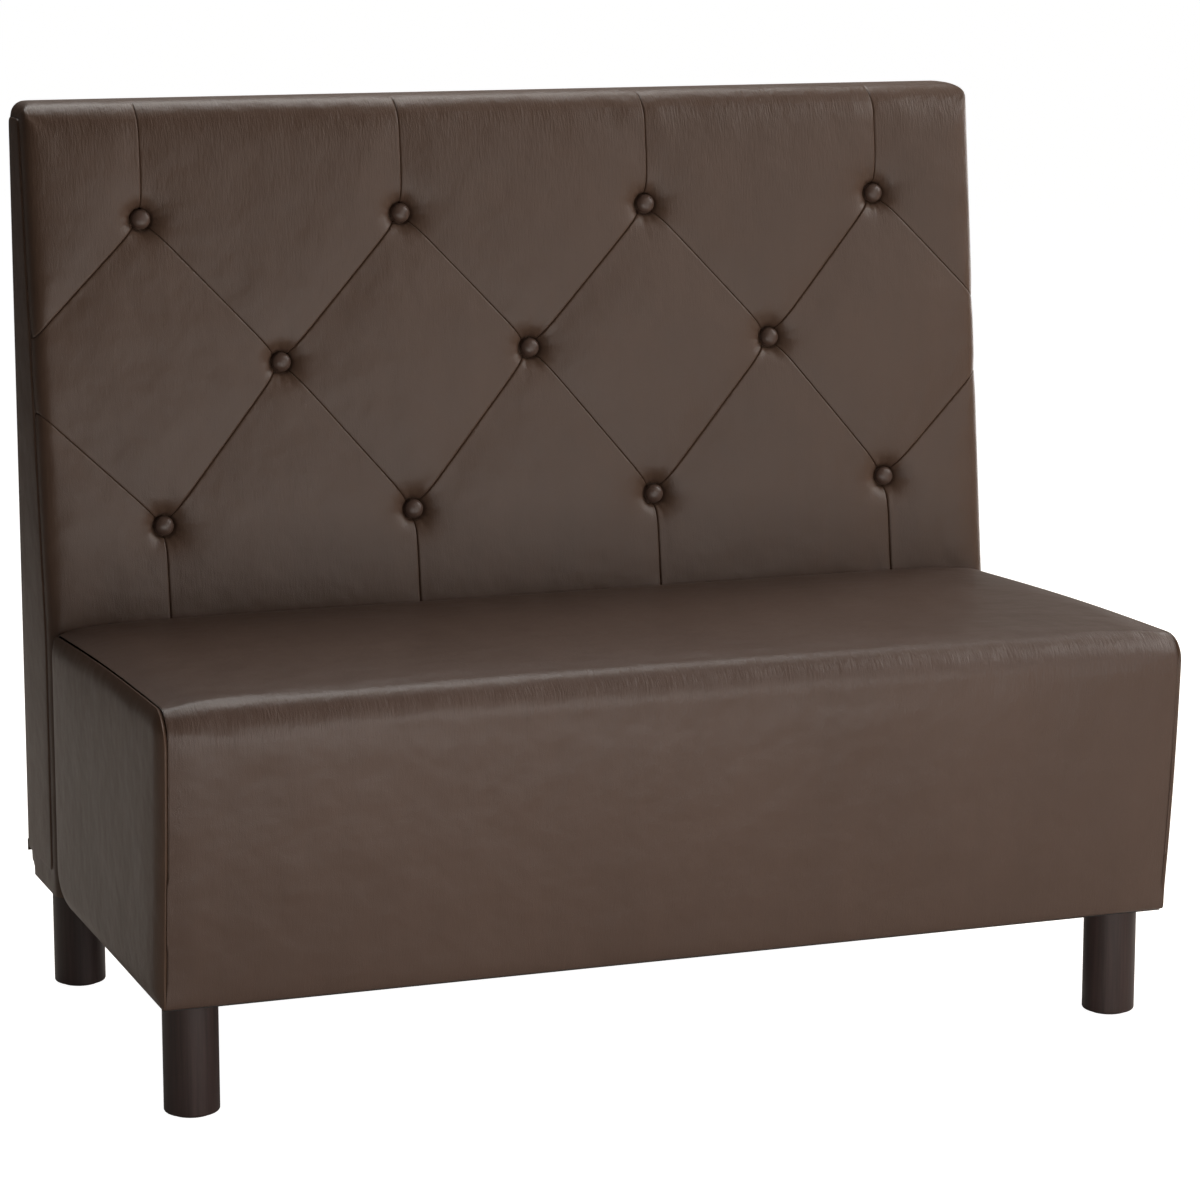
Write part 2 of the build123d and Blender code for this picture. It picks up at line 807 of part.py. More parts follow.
def tee_nut(x, y, z, turn, barrel_length):
    """A tee nut: its barrel runs down from the flange, its bore passes right through."""
    barrel = Pos(0, 0, -barrel_length / 2) * Cylinder(tee_nut_barrel_radius, barrel_length)
    flange = Pos(0, 0, tee_nut_flange_thickness / 2) * Cylinder(
        tee_nut_flange_radius, tee_nut_flange_thickness
    )
    bore_length = 2 * barrel_length + overrun
    bore = Cylinder(bolt_radius + bolt_running_clearance, bore_length)
    return Pos(x, y, z) * Rot(turn, 0, 0) * (barrel + flange - bore)


leg_tee_nuts = []
for x, y in leg_places.values():
    leg_tee_nuts.append(tee_nut(x, y, plate_top, 0, tee_nut_barrel_length))
write("leg_tee_nuts", *leg_tee_nuts)

# Legs, each with its hanger bolt and glide
bolt_foot = leg_top - bolt_depth_in_leg
bolt_head = plate_top + tee_nut_flange_thickness + bolt_stand_out


def leg_solid():
    """A plain round leg with a rounded foot and bores for its bolt and its glide."""
    leg = Pos(0, 0, (glide_thickness + leg_top) / 2) * Cylinder(leg_radius, leg_top - glide_thickness)
    leg = fillet(leg.edges().sort_by(Axis.Z)[0], leg_foot_round)
    leg = chamfer(leg.edges().sort_by(Axis.Z)[-1], leg_top_chamfer)
    bore_foot = bolt_foot - bolt_end_gap
    bolt_bore = rod(
        (0, 0, bore_foot),
        (0, 0, 1),
        bolt_radius + bolt_running_clearance,
        leg_top - bore_foot + overrun,
    )
    nail_bore_radius = glide_nail_radius + fixing_clearance
    nail_bore_top = glide_thickness + glide_nail_length + bolt_end_gap
    nail_bore = rod((0, 0, 0), (0, 0, 1), nail_bore_radius, nail_bore_top)
    return leg - bolt_bore - nail_bore


def glide_solid():
    """A plastic glide with the nail that holds it under its leg."""
    disc = Pos(0, 0, glide_thickness / 2) * Cylinder(glide_radius, glide_thickness)
    disc = fillet(disc.edges().sort_by(Axis.Z)[0], glide_edge_round)
    nail_length = glide_thickness / 2 + glide_nail_length
    return disc + rod((0, 0, glide_thickness / 2), (0, 0, 1), glide_nail_radius, nail_length)


for name, (x, y) in leg_places.items():
    write(f"leg_{name}", Pos(x, y, 0) * leg_solid())
    write(f"glide_{name}", Pos(x, y, 0) * glide_solid())
    write(
        f"hanger_bolt_{name}",
        rod((x, y, bolt_foot), (0, 0, 1), bolt_radius, bolt_head - bolt_foot),
    )

# Dust covers under both units
seat_dust_cover = box_between(
    (-half_width + dust_cover_margin, foot_y + dust_cover_margin, leg_top),
    (half_width - dust_cover_margin, junction_y - seat_heel_radius, underside_height),
)
write("seat_dust_cover", seat_dust_cover - leg_bores(dust_cover_bore_radius))
back_dust_cover = box_between(
    (-half_width + dust_cover_margin, junction_y + dust_cover_margin, leg_top),
    (half_width - dust_cover_margin, rear_y - back_heel_radius, underside_height),
)
write("back_dust_cover", back_dust_cover - leg_bores(dust_cover_bore_radius))

# Bolts, washers and tee nuts that join the seat to the back
joining_bolts = []
joining_washers = []
joining_nuts = []
washer_front = rear_panel_front - joining_washer_thickness
bolt_end = lower_board_back + tee_nut_flange_thickness + bolt_stand_out
for x in (-joining_bolt_spacing / 2, joining_bolt_spacing / 2):
    for z in (joining_bolt_low_height, joining_bolt_high_height):
        head_start = (x, washer_front - joining_head_height, z)
        head = rod(head_start, (0, 1, 0), joining_head_radius, joining_head_height)
        shank = rod((x, washer_front, z), (0, 1, 0), bolt_radius, bolt_end - washer_front)
        joining_bolts.append(head + shank)
        washer_start = (x, washer_front, z)
        washer = rod(washer_start, (0, 1, 0), joining_washer_radius, joining_washer_thickness)
        bore_start = (x, washer_front - overrun, z)
        bore = rod(bore_start, (0, 1, 0), joining_bore_radius, 2 * overrun)
        joining_washers.append(washer - bore)
        joining_nuts.append(tee_nut(x, lower_board_back, z, -90, joining_barrel_length))
write("joining_bolts", *joining_bolts)
write("joining_washers", *joining_washers)
write("joining_tee_nuts", *joining_nuts)


# Covered buttons, their twines and the washers behind the board
def button_solid():
    """A covered button: a domed cap on a rim, with a short shank behind."""
    dome_rise = button_height - button_rim
    ball_radius = (button_radius**2 + dome_rise**2) / (2 * dome_rise)
    ball = Pos(0, 0, button_height - ball_radius) * Sphere(ball_radius)
    slot = Pos(0, 0, button_rim + dome_rise) * Cylinder(button_radius, 2 * dome_rise)
    rim = Pos(0, 0, button_rim / 2) * Cylinder(button_radius, button_rim)
    shank = Pos(0, 0, -shank_length / 2) * Cylinder(shank_radius, shank_length)
    return rim + (ball & slot) + shank


def on_cushion(places, height, solid):
    """Copies of a solid at places on the cushion plane, at a height along its normal."""
    return [cushion * Pos(x, up, height) * solid for x, up in places]


button_seat = -pit_depth
write("buttons_top_row", *on_cushion(top_row, button_seat, button_solid()))
write("buttons_middle_row", *on_cushion(middle_row, button_seat, button_solid()))
write("buttons_bottom_row", *on_cushion(bottom_row, button_seat, button_solid()))
washer_top = -board_back
twine_foot = washer_top - washer_thickness
twine_height = button_seat - shank_length - twine_foot
twine = Pos(0, 0, twine_height / 2) * Cylinder(twine_radius, twine_height)
write("button_twines", *on_cushion(button_places, twine_foot, twine))
washer_bore_radius = twine_radius + fixing_clearance
washer = Pos(0, 0, -washer_thickness / 2) * Cylinder(washer_radius, washer_thickness)
washer -= Cylinder(washer_bore_radius, overrun)
write("twine_washers", *on_cushion(button_places, washer_top, washer))

print("bench", bench_width, "wide", bench_depth, "deep", bench_height, "high")
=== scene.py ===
# %% [markdown]
# # An upholstered bench with a buttoned back
# This lesson dresses the measured frame of a bench. The frame holds every board, bolt and leg
# in its true place. What is missing is the look: covers with crowns, tucks and seams, covered
# buttons, linings, and a finish for each material. Lengths are in metres, X runs along the
# bench, Y from its front to its rear, and Z up.

import math

import bmesh
import bpy
import numpy as np
from mathutils import Matrix, Vector


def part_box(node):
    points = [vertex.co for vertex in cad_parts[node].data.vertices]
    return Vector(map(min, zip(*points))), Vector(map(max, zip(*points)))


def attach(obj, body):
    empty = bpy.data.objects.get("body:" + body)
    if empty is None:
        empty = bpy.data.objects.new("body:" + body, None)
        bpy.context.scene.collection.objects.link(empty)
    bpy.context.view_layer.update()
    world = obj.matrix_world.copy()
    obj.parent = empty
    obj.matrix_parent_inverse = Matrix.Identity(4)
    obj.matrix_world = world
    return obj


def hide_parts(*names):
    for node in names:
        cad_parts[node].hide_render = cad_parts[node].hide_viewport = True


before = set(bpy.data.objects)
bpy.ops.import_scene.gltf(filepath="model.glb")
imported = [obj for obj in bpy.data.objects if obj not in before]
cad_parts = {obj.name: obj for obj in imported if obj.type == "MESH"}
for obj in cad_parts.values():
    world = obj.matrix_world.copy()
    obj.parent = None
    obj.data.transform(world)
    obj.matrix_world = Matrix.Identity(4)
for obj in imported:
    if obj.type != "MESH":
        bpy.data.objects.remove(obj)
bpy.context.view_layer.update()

# %% [markdown]
# ## The camera
# The bench is seen from a little left of its front and from slightly above, with a long lens,
# so its far end is only a little smaller than its near end. The place of the camera comes from
# the measured corners of the bench. It is set first, because all later looks go through it.

# %% Place the camera
camera_place = (-1.5580, -4.2381, 1.3404)
camera_turn = math.radians(-20.299)
camera_tilt = math.radians(90 - 10.760)
lens_width_share = 3940.5 / 1200

camera_data = bpy.data.cameras.new("camera")
camera_data.sensor_width = 36.0
camera_data.lens = 36.0 * lens_width_share
camera = bpy.data.objects.new("camera", camera_data)
camera.location = camera_place
camera.rotation_euler = (camera_tilt, 0, camera_turn)
bpy.context.scene.collection.objects.link(camera)
bpy.context.scene.camera = camera
print("lens in millimetres:", round(camera_data.lens, 1))

# %% [markdown]
# ## Arithmetic on shader sockets
# A finish is a sum of small patterns: a grain, a stain, a thread. Wiring each sum by hand
# hides the idea, so one class wraps a socket and lets Python's own signs add the Math nodes.
# One method makes any other node from its type, its settings and its sockets.


# %% A socket that can be added and multiplied
class Signal:
    """The output of a shader node, to be used in plain arithmetic."""

    def __init__(self, tree, socket):
        self.tree = tree
        self.socket = socket

    def node(self, kind, settings=None, sockets=None, output=0):
        """Adds a node of a kind, sets it up, and gives one of its outputs."""
        made = self.tree.nodes.new(kind)
        for key, value in (settings or {}).items():
            if key == "stops":
                set_stops(made.color_ramp, value)
            else:
                setattr(made, key, value)
        for key, value in (sockets or {}).items():
            if isinstance(value, Signal):
                self.tree.links.new(value.socket, made.inputs[key])
            else:
                made.inputs[key].default_value = value
        return Signal(self.tree, made.outputs[output])

    def sum_of(self, operation, first, second):
        """A Math node on two numbers or signals."""
        return self.node("ShaderNodeMath", {"operation": operation}, {0: first, 1: second})

    def __add__(self, other):
        return self.sum_of("ADD", self, other)

    def __radd__(self, other):
        return self.sum_of("ADD", other, self)

    def __sub__(self, other):
        return self.sum_of("SUBTRACT", self, other)

    def __rsub__(self, other):
        return self.sum_of("SUBTRACT", other, self)

    def __mul__(self, other):
        return self.sum_of("MULTIPLY", self, other)

    def __rmul__(self, other):
        return self.sum_of("MULTIPLY", other, self)

    def sine(self):
        return self.sum_of("SINE", self, 0.0)

    def kept_between(self):
        """The signal, held between 0 and 1."""
        return self.sum_of("MINIMUM", self.sum_of("MAXIMUM", self, 0.0), 1.0)


def set_stops(ramp, stops):
    """Gives a colour ramp its stops, as pairs of a place and a colour."""
    while len(ramp.elements) > 1:
        ramp.elements.remove(ramp.elements[-1])
    ramp.elements[0].position, ramp.elements[0].color = stops[0]
    for place, colour in stops[1:]:
        ramp.elements.new(place).color = colour


# %% [markdown]
# Colours are read off as the eye sees them, from 0 to 255, while the renderer works with
# light. One small function turns the first into the second.


# %% Colours, patterns and a new finish
def paint(red, green, blue):
    """A colour seen as 0 to 255 a channel, as the renderer's linear colour."""
    seen = np.array([red, green, blue]) / 255
    light = np.where(seen <= 0.04045, seen / 12.92, ((seen + 0.055) / 1.055) ** 2.4)
    return (*[float(v) for v in light], 1.0)


def start_finish(name):
    """A new material, its shader and the object coordinates that its patterns read."""
    material = bpy.data.materials.new(name)
    material.use_nodes = True
    tree = material.node_tree
    shader = tree.nodes["Principled BSDF"]
    coordinates = tree.nodes.new("ShaderNodeTexCoord")
    return material, shader, Signal(tree, coordinates.outputs["Object"])


def stretched(place, scale, turn=(0, 0, 0)):
    """Coordinates stretched by a scale on each axis."""
    sockets = {"Vector": place, "Rotation": turn, "Scale": scale}
    return place.node("ShaderNodeMapping", None, sockets)


def cloud(place, scale, detail=2.0, rough=0.5):
    """Soft noise from 0 to 1."""
    sockets = {"Vector": place, "Scale": scale, "Detail": detail, "Roughness": rough}
    return place.node("ShaderNodeTexNoise", None, sockets)


def cells(place, scale, feature="F1"):
    """The distance to the nearest of many scattered points."""
    sockets = {"Vector": place, "Scale": scale}
    return place.node("ShaderNodeTexVoronoi", {"feature": feature}, sockets)


def blend_colours(amount, first, second):
    """A colour between two colours, by an amount from 0 to 1; 6 and 7 are its colour sockets."""
    sockets = {0: amount, 6: first, 7: second}
    return amount.node("ShaderNodeMix", {"data_type": "RGBA"}, sockets, output=2)


def split(place):
    """The three coordinates of a place, each on its own."""
    parts = place.node("ShaderNodeSeparateXYZ", None, {"Vector": place}).socket.node
    return [Signal(place.tree, output) for output in parts.outputs]


def step_between(signal, low, high):
    """0 below low, 1 above high, and a smooth step between."""
    limits = {"Value": signal, "From Min": low, "From Max": high}
    return signal.node("ShaderNodeMapRange", {"interpolation_type": "SMOOTHSTEP"}, limits)


def lay(shader, signal, socket):
    """Feeds a signal into a socket of the shader."""
    signal.tree.links.new(signal.socket, shader.inputs[socket])


def dress(shader, colour, roughness, relief, depth):
    """Feeds the shader a colour, a roughness and a relief, in shares of a depth in metres."""
    lay(shader, colour, "Base Color")
    lay(shader, roughness, "Roughness")
    bump = relief.node("ShaderNodeBump", None, {"Height": relief * depth, "Distance": 1.0})
    lay(shader, bump, "Normal")


# %% [markdown]
# ## Imitation leather
# The cover is a vinyl-coated cloth in dark brown. Close up it has a fine pebble grain, and
# tension draws long creases, a few millimetres apart, across the bench's length. From a step
# away both only soften the shine, with a slight mottle in the brown. The pebble comes from
# scattered cells and the creases from noise that is stretched along the cloth. The flat side
# panels run the other way, so the direction is an argument. The creases are stronger where
# the cloth is drawn round the seat's nose and up over the back's top edge.


# %% The imitation leather
crease_length, crease_spacing = 70.0, 420.0
nose_reach = {"up": (0.400, 0.436), "rearward": (-0.312, -0.290)}
top_reach = (0.75, 1.03)


def imitation_leather(name, across, colour, roughness=0.36, drawn_tight=False):
    """The cover's finish; across is the axis that the fine creases are counted along."""
    material, shader, place = start_finish(name)
    crease_scale = [crease_length] * 3
    crease_scale[across] = crease_spacing
    creases = cloud(stretched(place, crease_scale), 1.0, 3.0, 0.6)
    pebble = cells(place, 950.0)
    pores = cloud(place, 2600.0, 1.0)
    mottle = cloud(place, 5.0, 3.0, 0.6)
    streaks = cloud(stretched(place, [value / 12 for value in crease_scale]), 1.0, 2.0)
    deep = tuple(channel * 0.84 for channel in colour[:3]) + (1.0,)
    light = tuple(channel * 1.13 for channel in colour[:3]) + (1.0,)
    shade = (0.7 * mottle + 0.3 * streaks - 0.5) * 1.3 + 0.5
    dark_pores = (1.0 - pebble * 1.4) * 0.16
    brown = blend_colours(dark_pores, blend_colours(shade, deep, light), deep)
    drawn = creases * 0.95
    if drawn_tight:
        depth, height = split(place)[1:]
        nose = step_between(height, *nose_reach["up"])
        nose = nose * (1.0 - step_between(depth, *nose_reach["rearward"]))
        drawn = creases * (0.95 + 1.7 * nose + 1.6 * step_between(height, *top_reach))
    relief = drawn + pebble * 0.5 + pores * 0.15 + cloud(place, 19.0, 2.0) * 13.0
    dress(shader, brown, roughness - 0.03 + 0.08 * mottle + 0.06 * creases, relief, 0.00024)
    shader.inputs["Specular IOR Level"].default_value = 0.34
    return material


# The back's and the side panels' browns are warmer and a little more saturated than the front's.
# This is painted light: the tint makes up for the grey sheen that the lamps' gloss lays on those
# panels. The cloth itself is the same all round.
front_brown, back_brown_painted_for_light, side_brown_painted_for_light = paint(84, 66, 57), paint(86, 66, 54), paint(86, 65, 52)
leather_front = imitation_leather("imitation_leather", 0, front_brown, drawn_tight=True)
leather_back = imitation_leather("imitation_leather_back", 0, back_brown_painted_for_light, drawn_tight=True)
leather_side = imitation_leather("imitation_leather_side", 1, side_brown_painted_for_light)
leather_buttons = imitation_leather("imitation_leather_buttons", 0, front_brown, roughness=0.26)
print("leather colour, linear:", [round(v, 3) for v in front_brown[:3]])

# %% [markdown]
# ## Wood, steel and the rest
# The legs are turned wood with a dark stain and a satin lacquer, so the grain only shows as
# thin darker lines along each leg. The boards inside are chipboard, and the posts and rails
# are pale softwood with rings. Each finish is one small sum of patterns again.


# %% Stained leg, softwood and chipboard
def stained_wood():
    """Dark stained wood with a thin lacquer, its grain upright."""
    material, shader, place = start_finish("stained_leg_wood")
    lines = cloud(stretched(place, (260.0, 260.0, 9.0)), 1.0, 4.0, 0.65)
    bands = cloud(stretched(place, (60.0, 60.0, 2.5)), 1.0, 2.0)
    shade = (0.6 * lines + 0.4 * bands - 0.35) * 2.2
    colour = blend_colours(shade, paint(39, 26, 24), paint(70, 51, 48))
    dress(shader, colour, 0.34 + 0.12 * lines, lines, 0.00012)
    shader.inputs["Specular IOR Level"].default_value = 0.45
    return material


def softwood(name, along):
    """Pale softwood; along is the axis that its grain follows."""
    material, shader, place = start_finish(name)
    ring_scale, fibre_scale = [55.0] * 3, [900.0] * 3
    ring_scale[along], fibre_scale[along] = 2.2, 25.0
    rings = cloud(stretched(place, ring_scale), 1.0, 2.0)
    fibres = cloud(stretched(place, fibre_scale), 1.0, 2.0)
    early, late = (0.30, paint(222, 190, 142)), (0.58, paint(176, 128, 80))
    stops = [early, (0.50, paint(205, 166, 116)), late, (0.66, paint(214, 180, 130))]
    body = rings.node("ShaderNodeValToRGB", {"stops": stops}, {0: rings})
    colour = blend_colours(fibres * 0.5, body, paint(190, 150, 104))
    dress(shader, colour, 0.62 + 0.15 * fibres, fibres + rings, 0.00015)
    return material


def chipboard():
    """Pressed board of chips, with a few dark flakes."""
    material, shader, place = start_finish("chipboard")
    chips = cells(stretched(place, (260.0, 420.0, 300.0)), 1.0)
    dust = cloud(place, 700.0, 3.0)
    stain = cloud(place, 9.0, 2.0)
    worked = blend_colours(0.6 * chips + 0.4 * dust, paint(150, 116, 76), paint(214, 180, 130))
    colour = blend_colours(stain * 0.35, worked, paint(168, 132, 90))
    dress(shader, colour, 0.75 + 0.15 * dust, chips + dust, 0.0002)
    return material


leg_wood = stained_wood()
upright_wood = softwood("softwood_upright", 2)
lengthwise_wood = softwood("softwood_lengthwise", 0)
board = chipboard()

# %% [markdown]
# Fastenings are zinc-plated steel, with the cloudy grey of plating. The glides are black
# plastic. The foams are open-celled: a fine sponge of pores, pale yellow. Felt is a mat of
# mixed fibres. Webbing, lining and twine are a plain weave, and the dust cloth is a thin
# black sheet that is pressed together at small dots.


# %% Steel, plastic, foam and felt
def plated_steel():
    """Zinc plating: cloudy and a little yellow."""
    material, shader, place = start_finish("plated_steel")
    bloom = cloud(place, 160.0, 3.0)
    scratches = cloud(stretched(place, (900.0, 900.0, 90.0)), 1.0, 2.0)
    colour = blend_colours(bloom, paint(196, 192, 178), paint(214, 214, 210))
    dress(shader, colour, 0.24 + 0.22 * bloom, scratches, 0.00003)
    shader.inputs["Metallic"].default_value = 1.0
    return material


def glide_plastic():
    """Black moulded plastic with a fine spark-eroded texture."""
    material, shader, place = start_finish("glide_plastic")
    texture = cloud(place, 1500.0, 2.0)
    scuffs = cloud(place, 130.0, 3.0)
    colour = blend_colours(scuffs, paint(20, 20, 21), paint(38, 38, 39))
    dress(shader, colour, 0.5 + 0.25 * texture, texture, 0.00008)
    return material


def sponge():
    """Open-celled upholstery foam."""
    material, shader, place = start_finish("upholstery_foam")
    pores, coarse = cells(place, 620.0), cells(place, 240.0)
    tint = cloud(place, 6.0, 2.0)
    worked = blend_colours(0.7 * pores + 0.5 * coarse, paint(170, 152, 98), paint(238, 226, 178))
    colour = blend_colours(tint * 0.4, worked, paint(226, 206, 146))
    dress(shader, colour, 0.9 - 0.1 * tint, pores + coarse, 0.0006)
    return material


def fibre_mat():
    """Needled felt made of mixed fibres."""
    material, shader, place = start_finish("needled_felt")
    fibres = cloud(stretched(place, (500.0, 300.0, 400.0)), 1.0, 5.0, 0.8)
    flecks = cells(place, 180.0)
    colour = blend_colours(fibres, paint(88, 84, 80), paint(190, 182, 172))
    dress(shader, colour, 0.85 + 0.1 * flecks, fibres + flecks, 0.0008)
    return material


steel = plated_steel()
glide_black = glide_plastic()
foam = sponge()
felt = fibre_mat()


# %% Webbing, dust cloth, lining and twine
def woven(name, dark, pale, thread, depth):
    """A plain weave of threads of one width."""
    material, shader, place = start_finish(name)
    turn = math.pi / thread
    across, along, up = split(place)
    weave = (across * turn).sine() * ((along + up) * turn).sine() * 0.5 + 0.5
    fuzz = cloud(place, 1800.0, 2.0)
    colour = blend_colours(0.65 * weave + 0.35 * fuzz, dark, pale)
    dress(shader, colour, 0.78 + 0.15 * fuzz, weave + 0.4 * fuzz, depth)
    return material


def spunbond():
    """Thin black dust cloth, pressed together at small dots."""
    material, shader, place = start_finish("dust_cloth")
    across, along = split(place)[:2]
    dots_per_metre = 2400.0
    first = ((across + along) * dots_per_metre).sine()
    second = ((across - along) * dots_per_metre).sine()
    dots = first * second * 0.5 + 0.5
    fibres = cloud(place, 900.0, 4.0, 0.7)
    colour = blend_colours(0.5 * dots + 0.5 * fibres, paint(14, 14, 15), paint(44, 44, 46))
    dress(shader, colour, 0.7 + 0.2 * fibres, dots + fibres, 0.00012)
    return material


webbing_cloth = woven("webbing_cloth", paint(36, 36, 40), paint(104, 102, 98), 0.0024, 0.0004)
lining_cloth = woven("lining_cloth", paint(40, 31, 28), paint(66, 53, 48), 0.0007, 0.0001)
twine_thread = woven("twine_thread", paint(150, 140, 116), paint(222, 214, 192), 0.0006, 0.0001)
dust_cloth = spunbond()
print("finishes:", len(bpy.data.materials))

# %% [markdown]
# Every node of the frame gets the finish of its material. The covers and linings are not
# finished here: modelled pieces replace them below.

# %% Finish the frame's own pieces
frame_finishes = {
    leg_wood: ("leg_",),
    glide_black: ("glide_",),
    steel: ("hanger_bolt_", "joining_", "leg_tee_nuts", "twine_washers"),
    twine_thread: ("button_twines",),
    webbing_cloth: ("webbing_",),
    felt: ("seat_felt",),
    foam: ("seat_foam", "seat_front_pad", "seat_side_pad_", "back_foam"),
    board: (
        "seat_front_panel", "seat_rear_panel", "seat_heel_board", "seat_side_panel_",
        "seat_middle_rib", "tufting_board", "lower_board",
    ),
    upright_wood: ("seat_corner_blocks", "back_post_", "back_inner_post_"),
    lengthwise_wood: (
        "front_leg_plates", "back_top_rail", "back_middle_rails", "back_bottom_rail",
    ),
}


def finish_node(name):
    """The finish for a node, by the longest start of its name."""
    fitting = [
        (len(start), finish)
        for finish, starts in frame_finishes.items()
        for start in starts
        if name.startswith(start)
    ]
    return max(fitting, key=lambda pair: pair[0])[1] if fitting else leather_front


for name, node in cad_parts.items():
    node.data.materials.clear()
    node.data.materials.append(finish_node(name))
print("nodes finished:", len(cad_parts))

# %% [markdown]
# ## Tools for modelling
# An operator acts on all that is selected, so each piece starts from an empty selection. A
# few helpers keep the later cells short: they add a block between two corners, cut a piece
# across, pick edges or faces by a test, and read and write the places of all its points.


# %% Helpers for a block and its points
def alone(piece):
    """Selects one piece and nothing else."""
    bpy.ops.object.select_all(action="DESELECT")
    piece.select_set(True)
    bpy.context.view_layer.objects.active = piece


def add_block(name, low, high):
    """A block between two corners, with its place in its mesh."""
    bpy.ops.object.select_all(action="DESELECT")
    low, high = Vector(low), Vector(high)
    bpy.ops.mesh.primitive_cube_add(size=1, location=(low + high) / 2)
    piece = bpy.context.object
    piece.name = name
    piece.scale = high - low
    bpy.ops.object.transform_apply(location=True, rotation=True, scale=True)
    return piece


def points_of(piece):
    """The places of a piece's points, as a table of three columns."""
    places = np.empty(len(piece.data.vertices) * 3)
    piece.data.vertices.foreach_get("co", places)
    return places.reshape(-1, 3)


def move_points(piece, places):
    """Puts a piece's points at new places."""
    piece.data.vertices.foreach_set("co", places.reshape(-1))
    piece.data.update()


def outward(piece):
    """The way out at each point of a piece."""
    ways = np.empty(len(piece.data.vertices) * 3)
    piece.data.vertex_normals.foreach_get("vector", ways)
    return ways.reshape(-1, 3)


def ease(values, low, high):
    """A smooth step from 0 at low to 1 at high."""
    share = np.clip((values - low) / (high - low), 0, 1)
    return share * share * (3 - 2 * share)


def bell(distance, width):
    """1 at no distance, fading to both sides over a width."""
    return np.exp(-((distance / width) ** 2))


# %% Helpers that cut, round and finish
cover_thickness = 0.0012


def cut_across(piece, axis, places):
    """Cuts a piece right through at each place along an axis."""
    alone(piece)
    bpy.ops.object.mode_set(mode="EDIT")
    for place in places:
        plane_place, plane_normal = [0.0] * 3, [0.0] * 3
        plane_place[axis], plane_normal[axis] = float(place), 1.0
        bpy.ops.mesh.select_all(action="SELECT")
        bpy.ops.mesh.bisect(plane_co=plane_place, plane_no=plane_normal)
    bpy.ops.object.mode_set(mode="OBJECT")


def open_piece(piece, kind):
    """Opens a piece for editing its edges or faces, with none of them selected."""
    alone(piece)
    bpy.ops.object.mode_set(mode="EDIT")
    bpy.ops.mesh.select_mode(type=kind)
    bpy.ops.mesh.select_all(action="DESELECT")


def pick(piece, kind, wanted):
    """Opens a piece and selects those edges or faces that pass a test."""
    open_piece(piece, kind)
    mesh = bmesh.from_edit_mesh(piece.data)
    for part in mesh.edges if kind == "EDGE" else mesh.faces:
        part.select = bool(wanted(part))
    mesh.select_flush_mode()
    bmesh.update_edit_mesh(piece.data)


def pick_faces(piece, wanted):
    """In an open piece, selects faces by a test that reads all their centres at once."""
    mesh = bmesh.from_edit_mesh(piece.data)
    centres = np.array([face.calc_center_median() for face in mesh.faces])
    for face, chosen in zip(mesh.faces, wanted(centres).tolist()):
        face.select = chosen
    bmesh.update_edit_mesh(piece.data)


def bevel_picked(radius, steps):
    """Bevels the edges that are picked, and closes the piece."""
    bpy.ops.mesh.bevel(offset=radius, segments=steps, profile=0.5, affect="EDGES")
    bpy.ops.object.mode_set(mode="OBJECT")


def round_edges(piece, fits, radius, steps):
    """Bevels the edges whose two ends both pass a test."""
    pick(piece, "EDGE", lambda edge: all(fits(corner.co) for corner in edge.verts))
    bevel_picked(radius, steps)


def drop_faces(piece, unwanted):
    """Deletes the faces whose centre and normal pass a test."""
    pick(piece, "FACE", lambda face: unwanted(face.calc_center_median(), face.normal))
    bpy.ops.mesh.delete(type="FACE")
    bpy.ops.object.mode_set(mode="OBJECT")


def add_modifier(piece, kind, **settings):
    """Adds a modifier, sets it and applies it."""
    alone(piece)
    modifier = piece.modifiers.new(kind.lower(), kind)
    for key, value in settings.items():
        setattr(modifier, key, value)
    bpy.ops.object.modifier_apply(modifier=modifier.name)


def smooth_out(piece):
    """Divides a piece's faces once and smooths it."""
    add_modifier(piece, "SUBSURF", levels=1, render_levels=1)


def give_thickness(piece):
    """Gives a shell the thickness of the cloth, towards the inside."""
    add_modifier(piece, "SOLIDIFY", thickness=cover_thickness, offset=-1.0)


def finish_piece(piece, finish, slot, *nodes, smooth_angle=50):
    """Gives a piece its finish and its body, and hides the nodes that it stands for."""
    alone(piece)
    bpy.ops.object.shade_smooth_by_angle(angle=math.radians(smooth_angle))
    piece.data.materials.clear()
    piece.data.materials.append(finish)
    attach(piece, "root")
    if nodes:
        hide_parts(*nodes)
    print(piece.name, "faces:", len(piece.data.polygons))


# %% [markdown]
# ## Air in the cushions
# Foam that is a little too large for its cover keeps the cover tight, so it swells between
# the seams and tucks that hold it. A cloth simulation shows that well: the seams are held,
# air presses from inside, and after twenty frames the cover has its belly. How far a point
# may move is capped, so that the cushion keeps its measured size.

# %% Let a cover swell
air_pressure, last_frame = 4.0, 20


